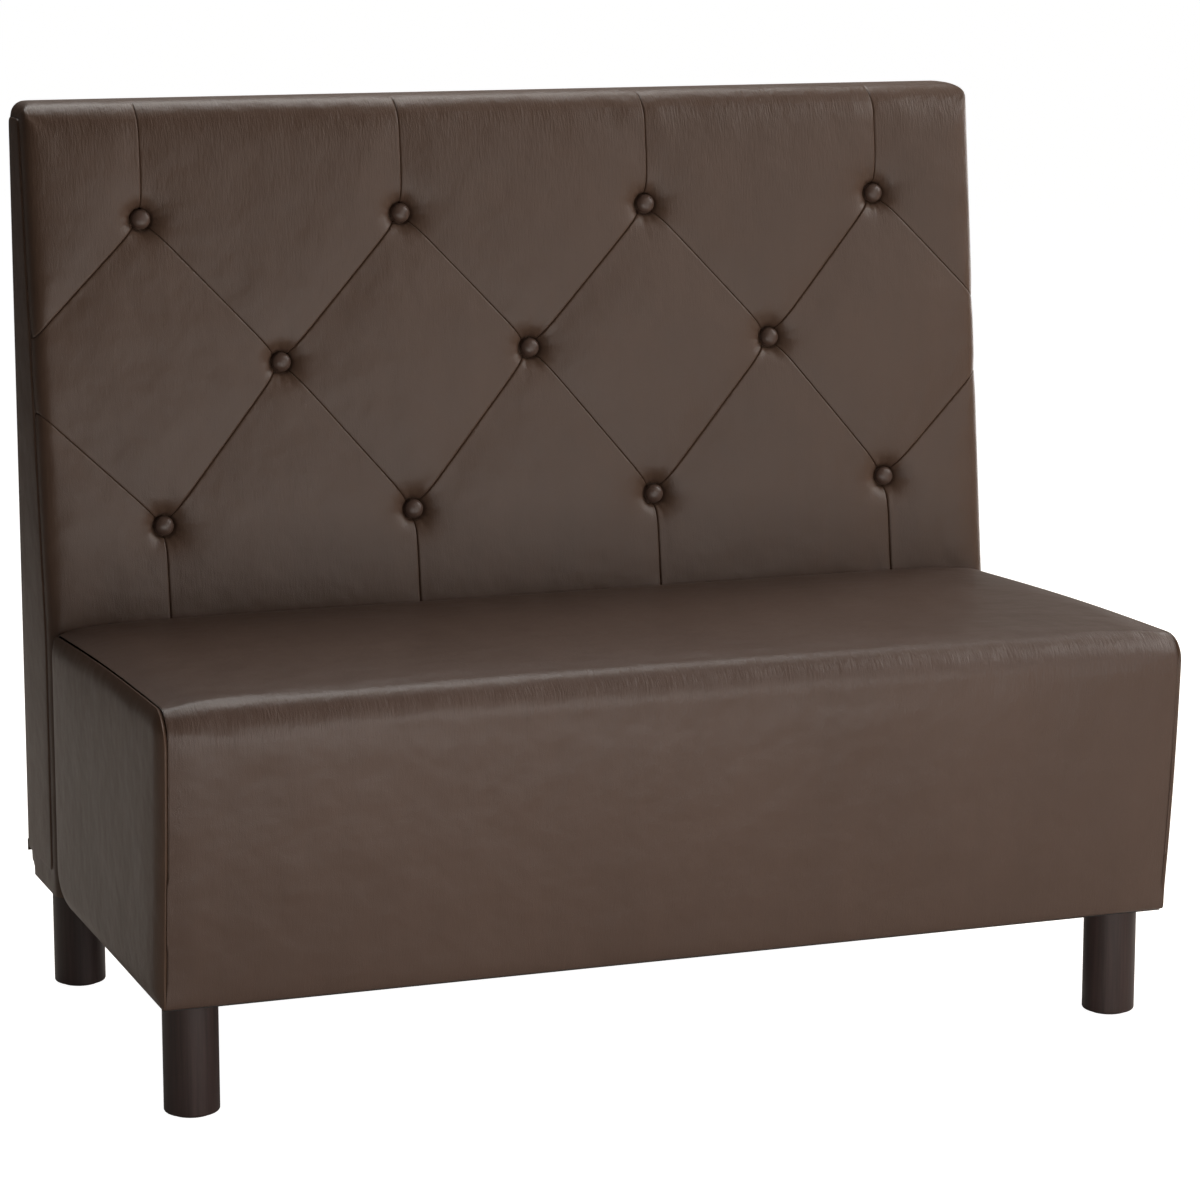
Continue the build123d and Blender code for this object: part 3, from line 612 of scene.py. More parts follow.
def swell_cover(piece, held, most):
    """Presses a cover out from inside; held is 1 where a point can't move, 0 where it can."""
    start = points_of(piece)
    group = piece.vertex_groups.new(name="held")
    levels = np.round(held, 2)
    for level in np.unique(levels):
        members = np.nonzero(levels == level)[0].tolist()
        group.add(members, float(level), "REPLACE")
    modifier = piece.modifiers.new("cloth", "CLOTH")
    cloth = modifier.settings
    cloth.quality = 5
    cloth.mass = 0.5
    cloth.tension_stiffness = 25
    cloth.compression_stiffness = 25
    cloth.shear_stiffness = 12
    cloth.bending_stiffness = 1.5
    cloth.vertex_group_mass = "held"
    cloth.use_pressure = True
    cloth.uniform_pressure_force = air_pressure
    cloth.effector_weights.gravity = 0
    modifier.point_cache.frame_start = 1
    modifier.point_cache.frame_end = last_frame
    for step in range(1, last_frame + 1):
        bpy.context.scene.frame_set(step)
    alone(piece)
    bpy.ops.object.modifier_apply(modifier=modifier.name)
    piece.vertex_groups.clear()
    bpy.context.scene.frame_set(1)
    move = points_of(piece) - start
    length = np.maximum(np.linalg.norm(move, axis=1, keepdims=True), 1e-9)
    capped = most * np.tanh(length / most)
    move_points(piece, start + move / length * capped)
    print(piece.name, "swelled by up to", round(float(capped.max()) * 1000, 1), "mm")


# %% [markdown]
# ## The seat
# The seat's cover is one length of imitation leather that runs from the rear, over the top
# and the rounded nose, down the leaning front and a little way under the box. It starts as a
# block with the measured outline. The long edges are bevelled by their own radii, cuts give
# it enough points to bend, and the crown and the bow of the front come from moving them.

# %% Seat sizes
half_width = 0.600
seat_front, seat_rear = -0.3364, 0.1895
seat_foot_y, underside = -0.3045, 0.1300
nose_height, rear_height = 0.4631, 0.4480
nose_radius, heel_radius, rear_radius, foot_radius = 0.0396, 0.0460, 0.0090, 0.0064
front_rise, front_slope, top_slope = 0.297, 0.096, 0.0287
top_start, top_length, cushion_curve = -0.298, 0.487, 0.0034
cover_low, cover_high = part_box("seat_cover")
print("seat cover node:", [round(v, 4) for v in (*cover_low, *cover_high)])


# %% Block out the seat
def seat_block(name, x_low, x_high):
    """A block with the seat's leaning front, falling top and rounded long edges."""
    block = add_block(name, (x_low, seat_front, underside), (x_high, seat_rear, nose_height))
    corners = points_of(block)
    low_front = (corners[:, 1] < 0) & (corners[:, 2] < 0.3)
    high_rear = (corners[:, 1] > 0) & (corners[:, 2] > 0.3)
    corners[low_front, 1] = seat_foot_y
    corners[high_rear, 2] = rear_height
    move_points(block, corners)
    round_edges(block, lambda p: p.y < -0.32 and p.z > 0.4, nose_radius, 12)
    round_edges(block, lambda p: p.y > 0.18 and p.z < 0.2, heel_radius, 6)
    round_edges(block, lambda p: p.y > 0.18 and p.z > 0.4, rear_radius, 4)
    round_edges(block, lambda p: p.y < -0.30 and p.z < 0.2, foot_radius, 3)
    return block


def curve_cushion(p):
    """Curves the top up and the front out by a few millimetres, as soft padding does."""
    over_top = np.sin(math.pi * np.clip((p[:, 1] - top_start) / top_length, 0, 1))
    up_front = np.sin(math.pi * share_up(p))
    lift = cushion_curve * over_top * ease(p[:, 2], 0.40, 0.44)
    p[:, 1] -= cushion_curve * up_front * ease(-p[:, 1], 0.275, 0.300)
    p[:, 2] += lift


def share_up(p):
    """How far up the seat's front points are, from 0 at its foot to 1 at its nose."""
    return np.clip((p[:, 2] - underside) / front_rise, 0, 1)


def crown_seat(piece):
    """Lifts the seat's middle and bows its front."""
    front_crown, rear_crown, bow = 0.0080, 0.0105, 0.0095
    p = points_of(piece)
    across = np.abs(np.clip(p[:, 0] / half_width, -1, 1))
    share, full_share = 1 - across**3, 1 - across**15
    up = share_up(p)
    forward = np.clip((seat_rear - p[:, 1]) / (seat_rear - seat_front), 0, 1)
    lift = front_crown * share * forward + rear_crown * full_share * (1 - forward)
    curve_cushion(p)
    p[:, 1] -= bow * share * up * forward
    p[:, 2] += lift * up
    move_points(piece, p)


end_x = 0.5946
seat_cover = seat_block("seat_cover_sewn", -end_x, end_x)
print("seat block corners:", len(seat_cover.data.vertices))

# %% [markdown]
# The two ends of the block are where the cover is sewn to the side panels. There the cloth
# turns in towards the seam, by a small bevel all round each end and by three millimetres
# more over the last three centimetres. The ends themselves are cut away, because the side
# panels close them.

# %% Turn the ends in, cut a grid, and let the cover swell
end_bevel, turn_in, turn_reach = 0.0016, 0.0030, 0.030
round_edges(seat_cover, lambda p: p.x > end_x - 1e-4, end_bevel, 2)
round_edges(seat_cover, lambda p: p.x < 1e-4 - end_x, end_bevel, 2)
cut_across(seat_cover, 0, [*np.arange(-0.585, 0.586, 0.013), -0.5785, -0.5655, 0.5655, 0.5785])
cut_across(seat_cover, 1, np.arange(-0.288, 0.176, 0.0125))
cut_across(seat_cover, 2, np.arange(0.145, 0.425, 0.0125))
drop_faces(seat_cover, lambda c, n: abs(c.x) > end_x - 1e-4)
drop_faces(
    seat_cover,
    lambda c, n: c.z < underside + 1e-4 and abs(c.x) < 0.575 and -0.285 < c.y < 0.125,
)
crown_seat(seat_cover)
p = points_of(seat_cover)
from_end = end_x - np.abs(p[:, 0])
above_foot = ease(p[:, 2], 0.131, 0.160)
turned_in = turn_in * np.clip(1 - from_end / turn_reach, 0, 1) ** 2 * above_foot
p -= outward(seat_cover) * turned_in[:, None]
move_points(seat_cover, p)
held = np.maximum(1 - ease(from_end, 0.001, 0.014), 1 - ease(p[:, 2], 0.131, 0.150))
held = np.maximum(held, ease(p[:, 1], 0.165, 0.185))
swell_cover(seat_cover, held, 0.0012)
smooth_out(seat_cover)
print("seat cover size:", [round(v, 4) for v in seat_cover.dimensions])

# %% [markdown]
# ## The side panels of the seat
# Each side panel is a flat cut of the same cloth over a thin pad. Its face is nearly flat,
# and its rim rolls over by almost a centimetre to the seam, which draws the dark band along
# the edge. The block's outline is used again, now as a thin slice. Its outer face is inset
# in a few narrow rings, cut into a fine grid, and its rim is pulled back in a curve.

# %% One side panel, then its mirror image
panel_inner, panel_outer = 0.5893, 0.6040
roll_width, roll_depth, rim_nose_radius = 0.0260, 0.0090, 0.035
panel_middle = np.array([-0.06, 0.29])
rim_shrink = np.array([0.0092, 0.0128])
tuck_scale = np.array([0.986, 0.980])


def side_panel_cover(name, side):
    """A thin pad with a rolled rim, on one side of the seat."""
    pad = seat_block(name, panel_inner, panel_outer)
    drop_faces(pad, lambda c, n: c.x < panel_inner + 1e-4)
    pick(pad, "FACE", lambda face: face.normal.x > 0.99)
    for ring in (0.0006, 0.0010, 0.0016, 0.0022):
        bpy.ops.mesh.inset(thickness=ring)
    bpy.ops.object.mode_set(mode="OBJECT")
    cut_across(pad, 1, np.arange(-0.325, 0.180, 0.0068))
    cut_across(pad, 2, np.arange(0.140, 0.455, 0.0068))
    q = points_of(pad)
    drop = np.clip(1 - rim_distance(q) / roll_width, 0, 1) ** 2
    front_face = q[:, 0] > panel_outer - 1e-4
    q[front_face, 0] -= roll_depth * drop[front_face]
    narrower = 1 - (drop * ease(q[:, 2], 0.131, 0.160))[:, None] * rim_shrink
    q[:, 1:] = (q[:, 1:] - panel_middle) * narrower + panel_middle
    tucked = q[:, 0] < panel_inner + 1e-4
    q[tucked, 1:] = (q[tucked, 1:] - panel_middle) * tuck_scale + panel_middle
    curve_cushion(q)
    move_points(pad, q)
    loose = ease(rim_distance(q), 0.012, 0.040) * ease(q[:, 0], 0.598, 0.602)
    swell_cover(pad, 1 - loose, 0.0020)
    smooth_out(pad)
    if side < 0:
        mirror_piece(pad)
    return pad


def corner_distance(first, second, radius):
    """How far points are from a rounded corner, by their distances to its two sides."""
    rounded = radius - np.hypot(np.maximum(radius - first, 0), np.maximum(radius - second, 0))
    return np.where((first < radius) & (second < radius), rounded, np.minimum(first, second))


def rim_distance(q):
    """How far points are from the outline of the seat's side."""
    front = seat_foot_y - front_slope * (q[:, 2] - underside)
    top = nose_height - top_slope * (q[:, 1] - seat_front)
    to_nose = corner_distance(q[:, 1] - front, top - q[:, 2], rim_nose_radius)
    to_heel = corner_distance(seat_rear - q[:, 1], q[:, 2] - underside, heel_radius)
    return np.maximum(np.minimum(to_nose, to_heel), 0)


def mirror_piece(piece):
    """Mirrors a piece across the middle of the bench and keeps its faces outward."""
    q = points_of(piece)
    q[:, 0] *= -1
    move_points(piece, q)
    alone(piece)
    bpy.ops.object.mode_set(mode="EDIT")
    bpy.ops.mesh.select_all(action="SELECT")
    bpy.ops.mesh.flip_normals()
    bpy.ops.object.mode_set(mode="OBJECT")


side_cover_right = side_panel_cover("seat_side_panel_cover_right", 1)
side_cover_left = side_panel_cover("seat_side_panel_cover_left", -1)
print("side panel size:", [round(v, 4) for v in side_cover_right.dimensions])

# %% [markdown]
# The covers are shells, so each gets the thickness of the cloth, towards the inside.

# %% Give the seat's covers their thickness and finish
seat_covers = (
    (seat_cover, leather_front, ("seat_cover", "seat_foam", "seat_front_pad")),
    (side_cover_right, leather_side, ("seat_side_cover_right", "seat_side_pad_right")),
    (side_cover_left, leather_side, ("seat_side_cover_left", "seat_side_pad_left")),
)
for cover, finish, nodes in seat_covers:
    give_thickness(cover)
    finish_piece(cover, finish, "leatherette", *nodes)

# %% [markdown]
# ## The back
# The back leans above the seat, and its cover is tufted: eleven buttons pull it into the
# foam, and between them the spare cloth is tucked into thin folds that draw diamonds. The
# cover rolls over both sides and over the top. Side panels and a lining close the rest.
# Places on the leaning face are given as x and a height up the face.

# %% Back sizes and the places of the buttons
face_y, rear_y = 0.1895, 0.3395
bend_height, back_top = 0.4400, 1.0550
face_run, face_rise = 0.072, 0.615
lean = math.atan(face_run / face_rise)
face_out = np.array([0.0, -math.cos(lean), math.sin(lean)])
face_up = np.array([0.0, math.sin(lean), math.cos(lean)])
button_pitch = 0.30996
row_heights = (0.920246, 0.750893, 0.568793)
row_starts = (-1.5, -1.0, -1.5)
row_nudges = (
    ((-0.004, 0.0), (0.018, -0.008), (0.027, -0.003), (0.009, 0.011)),
    ((0.017, -0.009), (0.022, 0.004), (0.034, 0.003)),
    ((0.029, -0.016), (0.020, -0.007), (0.017, -0.003), (0.013, 0.013)),
)


def height_on_face(z):
    """The height up the leaning face that belongs to a height above the floor."""
    return (z - bend_height) / math.cos(lean)


def button_row(row):
    """The places of one row of buttons, as x and height up the face."""
    places = []
    for index, (across, up) in enumerate(row_nudges[row]):
        x = button_pitch * (row_starts[row] + index + across)
        places.append((x, height_on_face(row_heights[row] + button_pitch * up)))
    return places


def on_face(x, up, out=0.0):
    """A place on the leaning face, or out in front of it."""
    return np.array([x, face_y, bend_height]) + face_up * up + face_out * out


top_row, middle_row, bottom_row = (button_row(row) for row in range(3))
buttons = top_row + middle_row + bottom_row
print("buttons:", [(round(x, 3), round(up, 3)) for x, up in buttons])


# %% The folds between the buttons
def fold_lines():
    """Each fold as two places on the face: between buttons, to the sides, up and down."""
    lines = []
    for index, centre in enumerate(middle_row):
        for row in (top_row, bottom_row):
            lines += [(centre, row[index]), (centre, row[index + 1])]
    upper, lower = height_on_face(0.7861), height_on_face(0.7042)
    for end, edge in ((0, -0.602), (-1, 0.602)):
        lines += [(top_row[end], (edge, upper)), (bottom_row[end], (edge, lower))]
    lines += [((x, up), (x, 0.640)) for x, up in top_row]
    lines += [((x, up), (x, -0.010)) for x, up in bottom_row]
    return [(np.array(start), np.array(end)) for start, end in lines]


folds = fold_lines()
folds_between_buttons = 12


def up_the_face(p):
    """The height up the face of many points."""
    return (p[:, 2] - bend_height) * math.cos(lean) + (p[:, 1] - face_y) * math.sin(lean)


def fold_way(fold):
    """A fold's length and its direction on the face."""
    along = fold[1] - fold[0]
    length = float(np.hypot(*along))
    return length, along / length


def fold_reading(p, fold):
    """For many points: distance to the side of a fold, with its sign, and share along it."""
    length, along = fold_way(fold)
    x, up = p[:, 0] - fold[0][0], up_the_face(p) - fold[0][1]
    return x * -along[1] + up * along[0], (x * along[0] + up * along[1]) / length


def near_folds(p):
    """The distance of many points to the nearest fold."""
    nearest = np.full(len(p), 9.0)
    for fold in folds:
        side, share = fold_reading(p, fold)
        beyond = np.maximum(np.maximum(-share, share - 1), 0) * fold_way(fold)[0]
        nearest = np.minimum(nearest, np.hypot(side, beyond))
    return nearest


def near_buttons(p):
    """The distance of many points to the nearest button, and which one it is."""
    up = up_the_face(p)
    ways = np.stack([np.hypot(p[:, 0] - x, up - height) for x, height in buttons])
    return ways.min(axis=0), ways.argmin(axis=0)


print("folds:", len(folds))

# %% [markdown]
# The back starts as an upright block. A cut at the bend lets its upper part lean back, the
# front and top edges get their rolls, and the rear edges small ones. The parts that the side
# panels and the lining cover are cut away along the seams.

# %% Block out the back
back_cover = add_block(
    "back_cover_tufted", (-half_width, face_y, underside), (half_width, rear_y, back_top)
)
cut_across(back_cover, 2, [bend_height])
corners = points_of(back_cover)
leaning = (corners[:, 1] < face_y + 0.01) & (corners[:, 2] > bend_height + 0.01)
corners[leaning, 1] += (corners[leaning, 2] - bend_height) * math.tan(lean)
move_points(back_cover, corners)


def on_roll(edge):
    """Whether an edge is an upright front edge, the top's front edge or one of its sides."""
    first, second = edge.verts[0].co, edge.verts[1].co
    upright = max(first.y, second.y) < 0.27 and abs(first.x) > 0.59
    upright = upright and abs(first.x - second.x) < 1e-4
    at_top = first.z > 1.05 and second.z > 1.05
    rear = first.y > 0.33 and second.y > 0.33
    return upright or (at_top and not rear)


pick(back_cover, "EDGE", on_roll)
bevel_picked(0.0172, 6)
round_edges(back_cover, lambda p: p.y > rear_y - 1e-4 and p.z > back_top - 0.03, 0.0040, 3)
round_edges(back_cover, lambda p: p.y > rear_y - 1e-4 and p.z < underside + 1e-4, 0.0270, 6)
print("back block corners:", len(back_cover.data.vertices))

# %% Cut the seams and the grid
seam_foot_z, seam_top_z = 0.1570, 1.0370
seam_low_y, seam_top_y = 0.2115, 0.2895
seam_lean = math.atan((seam_top_y - seam_low_y) / (seam_top_z - bend_height))
seam_normal = (0, math.cos(seam_lean), -math.sin(seam_lean))


def seam_y(z):
    """Where the seam of the side panel runs, at a height or at many."""
    return seam_low_y + np.maximum(z - bend_height, 0) * math.tan(seam_lean)


def cut_side_faces(place, normal, low, high):
    """Cuts only the side faces of the back between two heights."""
    pick(
        back_cover,
        "FACE",
        lambda face: low < face.calc_center_median().z < high and abs(face.normal.x) > 0.99,
    )
    bpy.ops.mesh.bisect(plane_co=place, plane_no=normal)
    bpy.ops.object.mode_set(mode="OBJECT")


def under_side_panel(c, n):
    """Whether a face lies where the side panel goes."""
    return abs(n.x) > 0.99 and c.y > seam_y(c.z) and seam_foot_z < c.z < seam_top_z


cut_across(back_cover, 2, [seam_top_z, seam_foot_z])
cut_side_faces((0, seam_low_y, bend_height), seam_normal, bend_height, 9.0)
cut_side_faces((0, seam_low_y, 0.2), (0, 1, 0), seam_foot_z, bend_height)
drop_faces(back_cover, under_side_panel)
drop_faces(back_cover, lambda c, n: n.y > 0.99 and seam_foot_z < c.z < seam_top_z)
drop_faces(back_cover, lambda c, n: n.z < -0.99)
cut_across(back_cover, 0, np.arange(-0.5725, 0.573, 0.0100))
cut_across(back_cover, 1, np.arange(0.2850, 0.330, 0.0120))
cut_across(back_cover, 2, [*np.arange(0.170, 0.435, 0.0240), *np.arange(0.4500, 1.034, 0.0103)])
print("back cover faces:", len(back_cover.data.polygons))

# %% [markdown]
# The padding goes over the top rail, so the cover turns back there in a much wider roll than
# at the sides. Points that stand outside a cylinder along the top are pulled in to it.

# %% Widen the roll along the top
top_radius = 0.0380
p = points_of(back_cover)
behind_face = p[:, 1] - (face_y + (p[:, 2] - bend_height) * math.tan(lean))
inward = np.stack([top_radius - behind_face, top_radius - (back_top - p[:, 2])], axis=1)
length = np.maximum(np.linalg.norm(inward, axis=1), 1e-9)
pull = np.where(inward.min(axis=1) > 0, np.maximum(1 - top_radius / length, 0), 0)
p[:, 1] += inward[:, 0] * pull
p[:, 2] -= inward[:, 1] * pull
move_points(back_cover, p)
print("points pulled in along the top:", int((pull > 0).sum()))

# %% [markdown]
# The tufting has three layers. First the cover is pressed in a little, softly, round each
# button, and air swells it between the buttons and the folds that hold it. Then cuts run
# along each fold and the cloth is tucked in there: a thin crease with one lip a little
# higher, because the spare cloth is laid over to one side. Last come the funnels at the
# buttons, with the small pleats that a pulled button gathers.

# %% Swell the back between its buttons and folds
front_limit_y = 0.300
p = points_of(back_cover)
from_button, nearest = near_buttons(p)
from_fold = near_folds(p)
on_front = ease(p[:, 2], 0.440, 0.475) * (p[:, 1] < front_limit_y)
broad = 0.0030 * bell(from_button, 0.028) + 0.0009 * bell(from_fold, 0.012)
move_points(back_cover, p - outward(back_cover) * (broad * on_front)[:, None])
loose = ease(from_button, 0.012, 0.060) * ease(from_fold, 0.002, 0.030) * on_front
loose *= (1 - ease(p[:, 1], 0.262, 0.280)) * (1 - ease(np.abs(p[:, 0]), 0.592, 0.599))
swell_cover(back_cover, 1 - loose, 0.0030)


# %% Cut along the folds
def cut_along_fold(fold, offset):
    """Cuts the faces near a fold, along the fold or a little to its side."""
    length, along = fold_way(fold)
    across = np.array([-along[1], 0, 0]) + face_up * along[0]
    trim = 0.009 / length

    def beside(centres):
        side, share = fold_reading(centres, fold)
        wanted = (np.abs(side) < 0.011) & (share > trim) & (share < 1 + trim)
        return wanted & (centres[:, 1] < front_limit_y) & (centres[:, 2] > bend_height - 0.02)

    pick_faces(back_cover, beside)
    bpy.ops.mesh.bisect(plane_co=on_face(*fold[0]) + across * offset, plane_no=across)
    bpy.ops.mesh.select_mode(type="FACE")


open_piece(back_cover, "FACE")
for fold in folds:
    for offset in (0.0, -0.0009, 0.0009, -0.0034, 0.0034):
        cut_along_fold(fold, offset)
bpy.ops.mesh.select_all(action="SELECT")
bpy.ops.mesh.remove_doubles(threshold=0.0004)
bpy.ops.object.mode_set(mode="OBJECT")
print("faces after the cuts:", len(back_cover.data.polygons))
smooth_out(back_cover)

# %% Refine round the buttons
for reach in (0.038, 0.019):
    open_piece(back_cover, "FACE")
    pick_faces(back_cover, lambda c: (near_buttons(c)[0] < reach) & (c[:, 1] < front_limit_y))
    bpy.ops.mesh.subdivide(number_cuts=1)
    bpy.ops.object.mode_set(mode="OBJECT")
print("faces after refining:", len(back_cover.data.polygons))


# %% Tuck the folds and pull in the buttons
def fold_depth(p):
    """How deep each point goes into the tucks; the lip beside a tuck counts as negative."""
    depth = np.zeros(len(p))
    for number, fold in enumerate(folds):
        side, share = fold_reading(p, fold)
        length, along = fold_way(fold)
        near_end = np.clip(share, 0, 1) * length
        if number < folds_between_buttons:
            near_end = np.minimum(near_end, length - near_end)
        inside = (share > -0.01) & (share < 1.01)
        deep = (0.0018 + 0.0016 * np.exp(-near_end / 0.022)) * ease(near_end, 0.008, 0.013)
        crease = deep * np.exp(-np.abs(side) / 0.0006)
        hollow = 0.0003 * bell(side, 0.008)
        lip_side = -0.0034 if along[0] > 0 else 0.0034
        lip = 0.0006 * bell(side - lip_side, 0.0026) * inside * ease(near_end, 0.012, 0.030)
        depth = np.maximum(depth, (crease + hollow) * inside) - lip
    return depth


button_rim = 0.0125
p = points_of(back_cover)
from_button, nearest = near_buttons(p)
centres = np.array(buttons)[nearest]
turned = np.arctan2(up_the_face(p) - centres[:, 1], p[:, 0] - centres[:, 0])
reach = ease(p[:, 2], 0.436, 0.450) * (1 - ease(p[:, 1], 0.276, 0.294))
funnel = 0.0118 * np.exp(-np.maximum(from_button - button_rim, 0) / 0.0086)
gap = 0.0032 * bell(from_button - button_rim, 0.0014)
pleats = 0.00055 * np.sin(turned * 11 + 1.6 * np.sin(turned * 2 + nearest) + nearest * 1.7)
pleats *= np.exp(-np.maximum(from_button - 0.011, 0) / 0.012) * ease(from_button, 0.013, 0.017)
tucks = outward(back_cover) * (fold_depth(p) * reach)[:, None]
move_points(back_cover, p - tucks - face_out * ((funnel + gap + pleats) * reach)[:, None])
give_thickness(back_cover)
finish_piece(back_cover, leather_back, "leatherette", "back_cover", "back_foam", smooth_angle=70)

# %% [markdown]
# ## The side panels, the lining and the hem of the back
# The side panels are flat cuts over the posts, with a soft rim where they meet the rolled
# cover, and they turn round the post to the lining. The lining is one stretched sheet,
# stapled under the hem band at its foot.

# %% The two side panels
side_inner, side_outer = 0.5962, 0.6020
side_foot_z, side_top_z, side_rear_y = 0.1575, 1.0365, 0.3392


def back_side_cover(name, side):
    """A flat panel over a post, with a rolled rim, on one side of the back."""
    corners = (side_inner, seam_low_y, side_foot_z), (side_outer, side_rear_y, side_top_z)
    pad = add_block(name, *corners)
    cut_across(pad, 2, [bend_height])
    q = points_of(pad)
    front = q[:, 1] < 0.25
    q[front, 1] = seam_y(q[front, 2])
    move_points(pad, q)
    round_edges(pad, lambda p: p.x > side_outer - 1e-4 and on_panel_rim(p), 0.0026, 3)
    cut_across(pad, 2, np.arange(0.180, 1.030, 0.0200))
    cut_across(pad, 1, np.arange(0.2250, 0.331, 0.0150))
    drop_faces(pad, lambda c, n: c.x < side_inner + 1e-4)
    q = points_of(pad)
    x, y, z = q.T
    to_edges = [y - seam_y(z), side_rear_y - y, z - side_foot_z, side_top_z - z]
    loose = ease(np.minimum.reduce(to_edges), 0.004, 0.018) * ease(x, 0.598, 0.601)
    swell_cover(pad, 1 - loose, 0.0012)
    smooth_out(pad)
    give_thickness(pad)
    if side < 0:
        mirror_piece(pad)
    return pad


def on_panel_rim(p):
    """Whether a corner lies on the panel's rim and not on the cut at the bend."""
    return abs(p.y - seam_y(p.z)) < 1e-3 or p.y > 0.3355 or p.z < 0.158 or p.z > 1.036


back_side_right = back_side_cover("back_side_panel_cover_right", 1)
back_side_left = back_side_cover("back_side_panel_cover_left", -1)
finish_piece(back_side_right, leather_side, "leatherette", "back_side_cover_right")
finish_piece(back_side_left, leather_side, "leatherette", "back_side_cover_left")

# %% The stretched lining on the rear
sheet_spacing = 0.03


def stretched_sheet(name, low, high, axis, waves):
    """A thin sheet pulled flat over a frame, with faint pulls along its rim."""
    sheet = add_block(name, low, high)
    others = [across for across in range(3) if across != axis]
    for across in others:
        start, end = low[across] + sheet_spacing, high[across] - sheet_spacing / 2
        cut_across(sheet, across, np.arange(start, end, sheet_spacing))
    q = points_of(sheet)
    rim = np.minimum.reduce([np.minimum(q[:, a] - low[a], high[a] - q[:, a]) for a in others])
    along = q[:, others[0]] + q[:, others[1]]
    q[:, axis] += waves * np.sin(along * 74.0) * np.exp(-rim / 0.03) * ease(rim, 0.0, 0.012)
    move_points(sheet, q)
    return sheet


lining_low, lining_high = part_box("rear_lining")
lining = stretched_sheet("rear_lining_sheet", lining_low, lining_high, 1, 0.00025)
finish_piece(lining, lining_cloth, "lining_cloth", "rear_lining")

# %% The hem band at the foot of the lining
band_low, band_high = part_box("rear_hem_band")
hem_band = add_block("rear_hem_band_folded", band_low, band_high)
round_edges(hem_band, lambda p: p.y > band_high[1] - 1e-4, 0.0012, 3)
cut_across(hem_band, 0, np.arange(band_low[0] + 0.02, band_high[0] - 0.01, 0.02))
p = points_of(hem_band)
wave = 0.0004 * (0.5 + 0.5 * np.sin(p[:, 0] * 60.0))
p[:, 1] -= wave * ease(p[:, 1], band_low[1] + 0.001, band_high[1])
move_points(hem_band, p)
finish_piece(hem_band, leather_side, "leatherette", "rear_hem_band")
print("hem band:", [round(v, 4) for v in (*band_low, *band_high)])

# %% [markdown]
# ## Covered buttons
# A covered button is a small metal dome with the same cloth drawn over it and gathered
# behind. One is modelled from a disc: rings are extruded outward and backward so that the
# dome has an even curve and its rim turns under. It is then copied to its places.

# %% Model one button and copy it along each row
button_height, button_depth, button_tip = 0.0080, 0.0126, 0.0022
button_rings = (
    (0.0046, 0.96), (0.0069, 0.88), (0.0089, 0.74), (0.0104, 0.54),
    (0.0114, 0.28), (0.0118, 0.00), (0.0114, -0.25), (0.0096, -0.45),
)


def model_button():
    """One covered button at the origin, facing up."""
    bpy.ops.object.select_all(action="DESELECT")
    bpy.ops.mesh.primitive_circle_add(
        vertices=32, radius=button_tip, fill_type="TRIFAN", location=(0, 0, button_height)
    )
    button = bpy.context.object
    bpy.ops.object.transform_apply(location=True, rotation=True, scale=True)
    open_piece(button, "EDGE")
    bpy.ops.mesh.select_non_manifold()
    last, height = button_tip, button_height
    for radius, share in button_rings:
        step = share * button_height - height
        bpy.ops.mesh.extrude_region_move(TRANSFORM_OT_translate={"value": (0, 0, step)})
        bpy.ops.transform.resize(value=(radius / last, radius / last, 1))
        last, height = radius, share * button_height
    bpy.ops.mesh.edge_face_add()
    bpy.ops.mesh.select_all(action="SELECT")
    bpy.ops.mesh.normals_make_consistent(inside=False)
    bpy.ops.object.mode_set(mode="OBJECT")
    smooth_out(button)
    return button


def join_copies(pattern, name, layouts):
    """Copies of a pattern, each with its points laid out anew, joined as one piece."""
    copies = []
    for points in layouts:
        copy = pattern.copy()
        copy.data = pattern.data.copy()
        bpy.context.collection.objects.link(copy)
        move_points(copy, points)
        copies.append(copy)
    alone(copies[0])
    for copy in copies:
        copy.select_set(True)
    bpy.ops.object.join()
    bpy.context.object.name = name
    return bpy.context.object


pattern_button = model_button()
print("button size:", [round(v, 4) for v in pattern_button.dimensions])
q = points_of(pattern_button)
turned_button = q[:, :1] * np.array([1.0, 0, 0]) + q[:, 1:2] * face_up + q[:, 2:] * face_out
for row, places in (("top", top_row), ("middle", middle_row), ("bottom", bottom_row)):
    layouts = [on_face(x, up, -button_depth) + turned_button for x, up in places]
    button_piece = join_copies(pattern_button, f"covered_buttons_{row}_row", layouts)
    finish_piece(button_piece, leather_buttons, "leatherette", f"buttons_{row}_row")
bpy.data.objects.remove(pattern_button)

# %% [markdown]
# ## Dust covers
# Under the seat and under the back, a thin black sheet keeps dust out. It is stapled flat
# along the frame and hangs through by up to a few millimetres in between.

# %% The two sheets underneath
seat_panels = ["seat_side_panel_left", "seat_side_panel_right"]
back_frame = ["back_bottom_rail", "back_post_left", "back_post_right"]
for part, sag, frame_parts in (("seat", 0.0030, seat_panels), ("back", 0.0004, back_frame)):
    low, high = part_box(f"{part}_dust_cover")
    sheet = stretched_sheet(f"{part}_dust_sheet", low, high, 2, 0.0002)
    q = points_of(sheet)
    across = np.clip((q[:, 0] - low[0]) / (high[0] - low[0]), 0, 1)
    deep = np.clip((q[:, 1] - low[1]) / (high[1] - low[1]), 0, 1)
    q[:, 2] -= sag * (np.sin(math.pi * across) * np.sin(math.pi * deep)) ** 0.8
    move_points(sheet, q)
    finish_piece(sheet, dust_cloth, "dust_cloth", f"{part}_dust_cover")

# %% [markdown]
# ## Staples
# Staples hold the dust covers, one about every six centimetres. A staple is a flat wire
# bridge of which only the crown shows. One is bent from a block and copied along the rims.


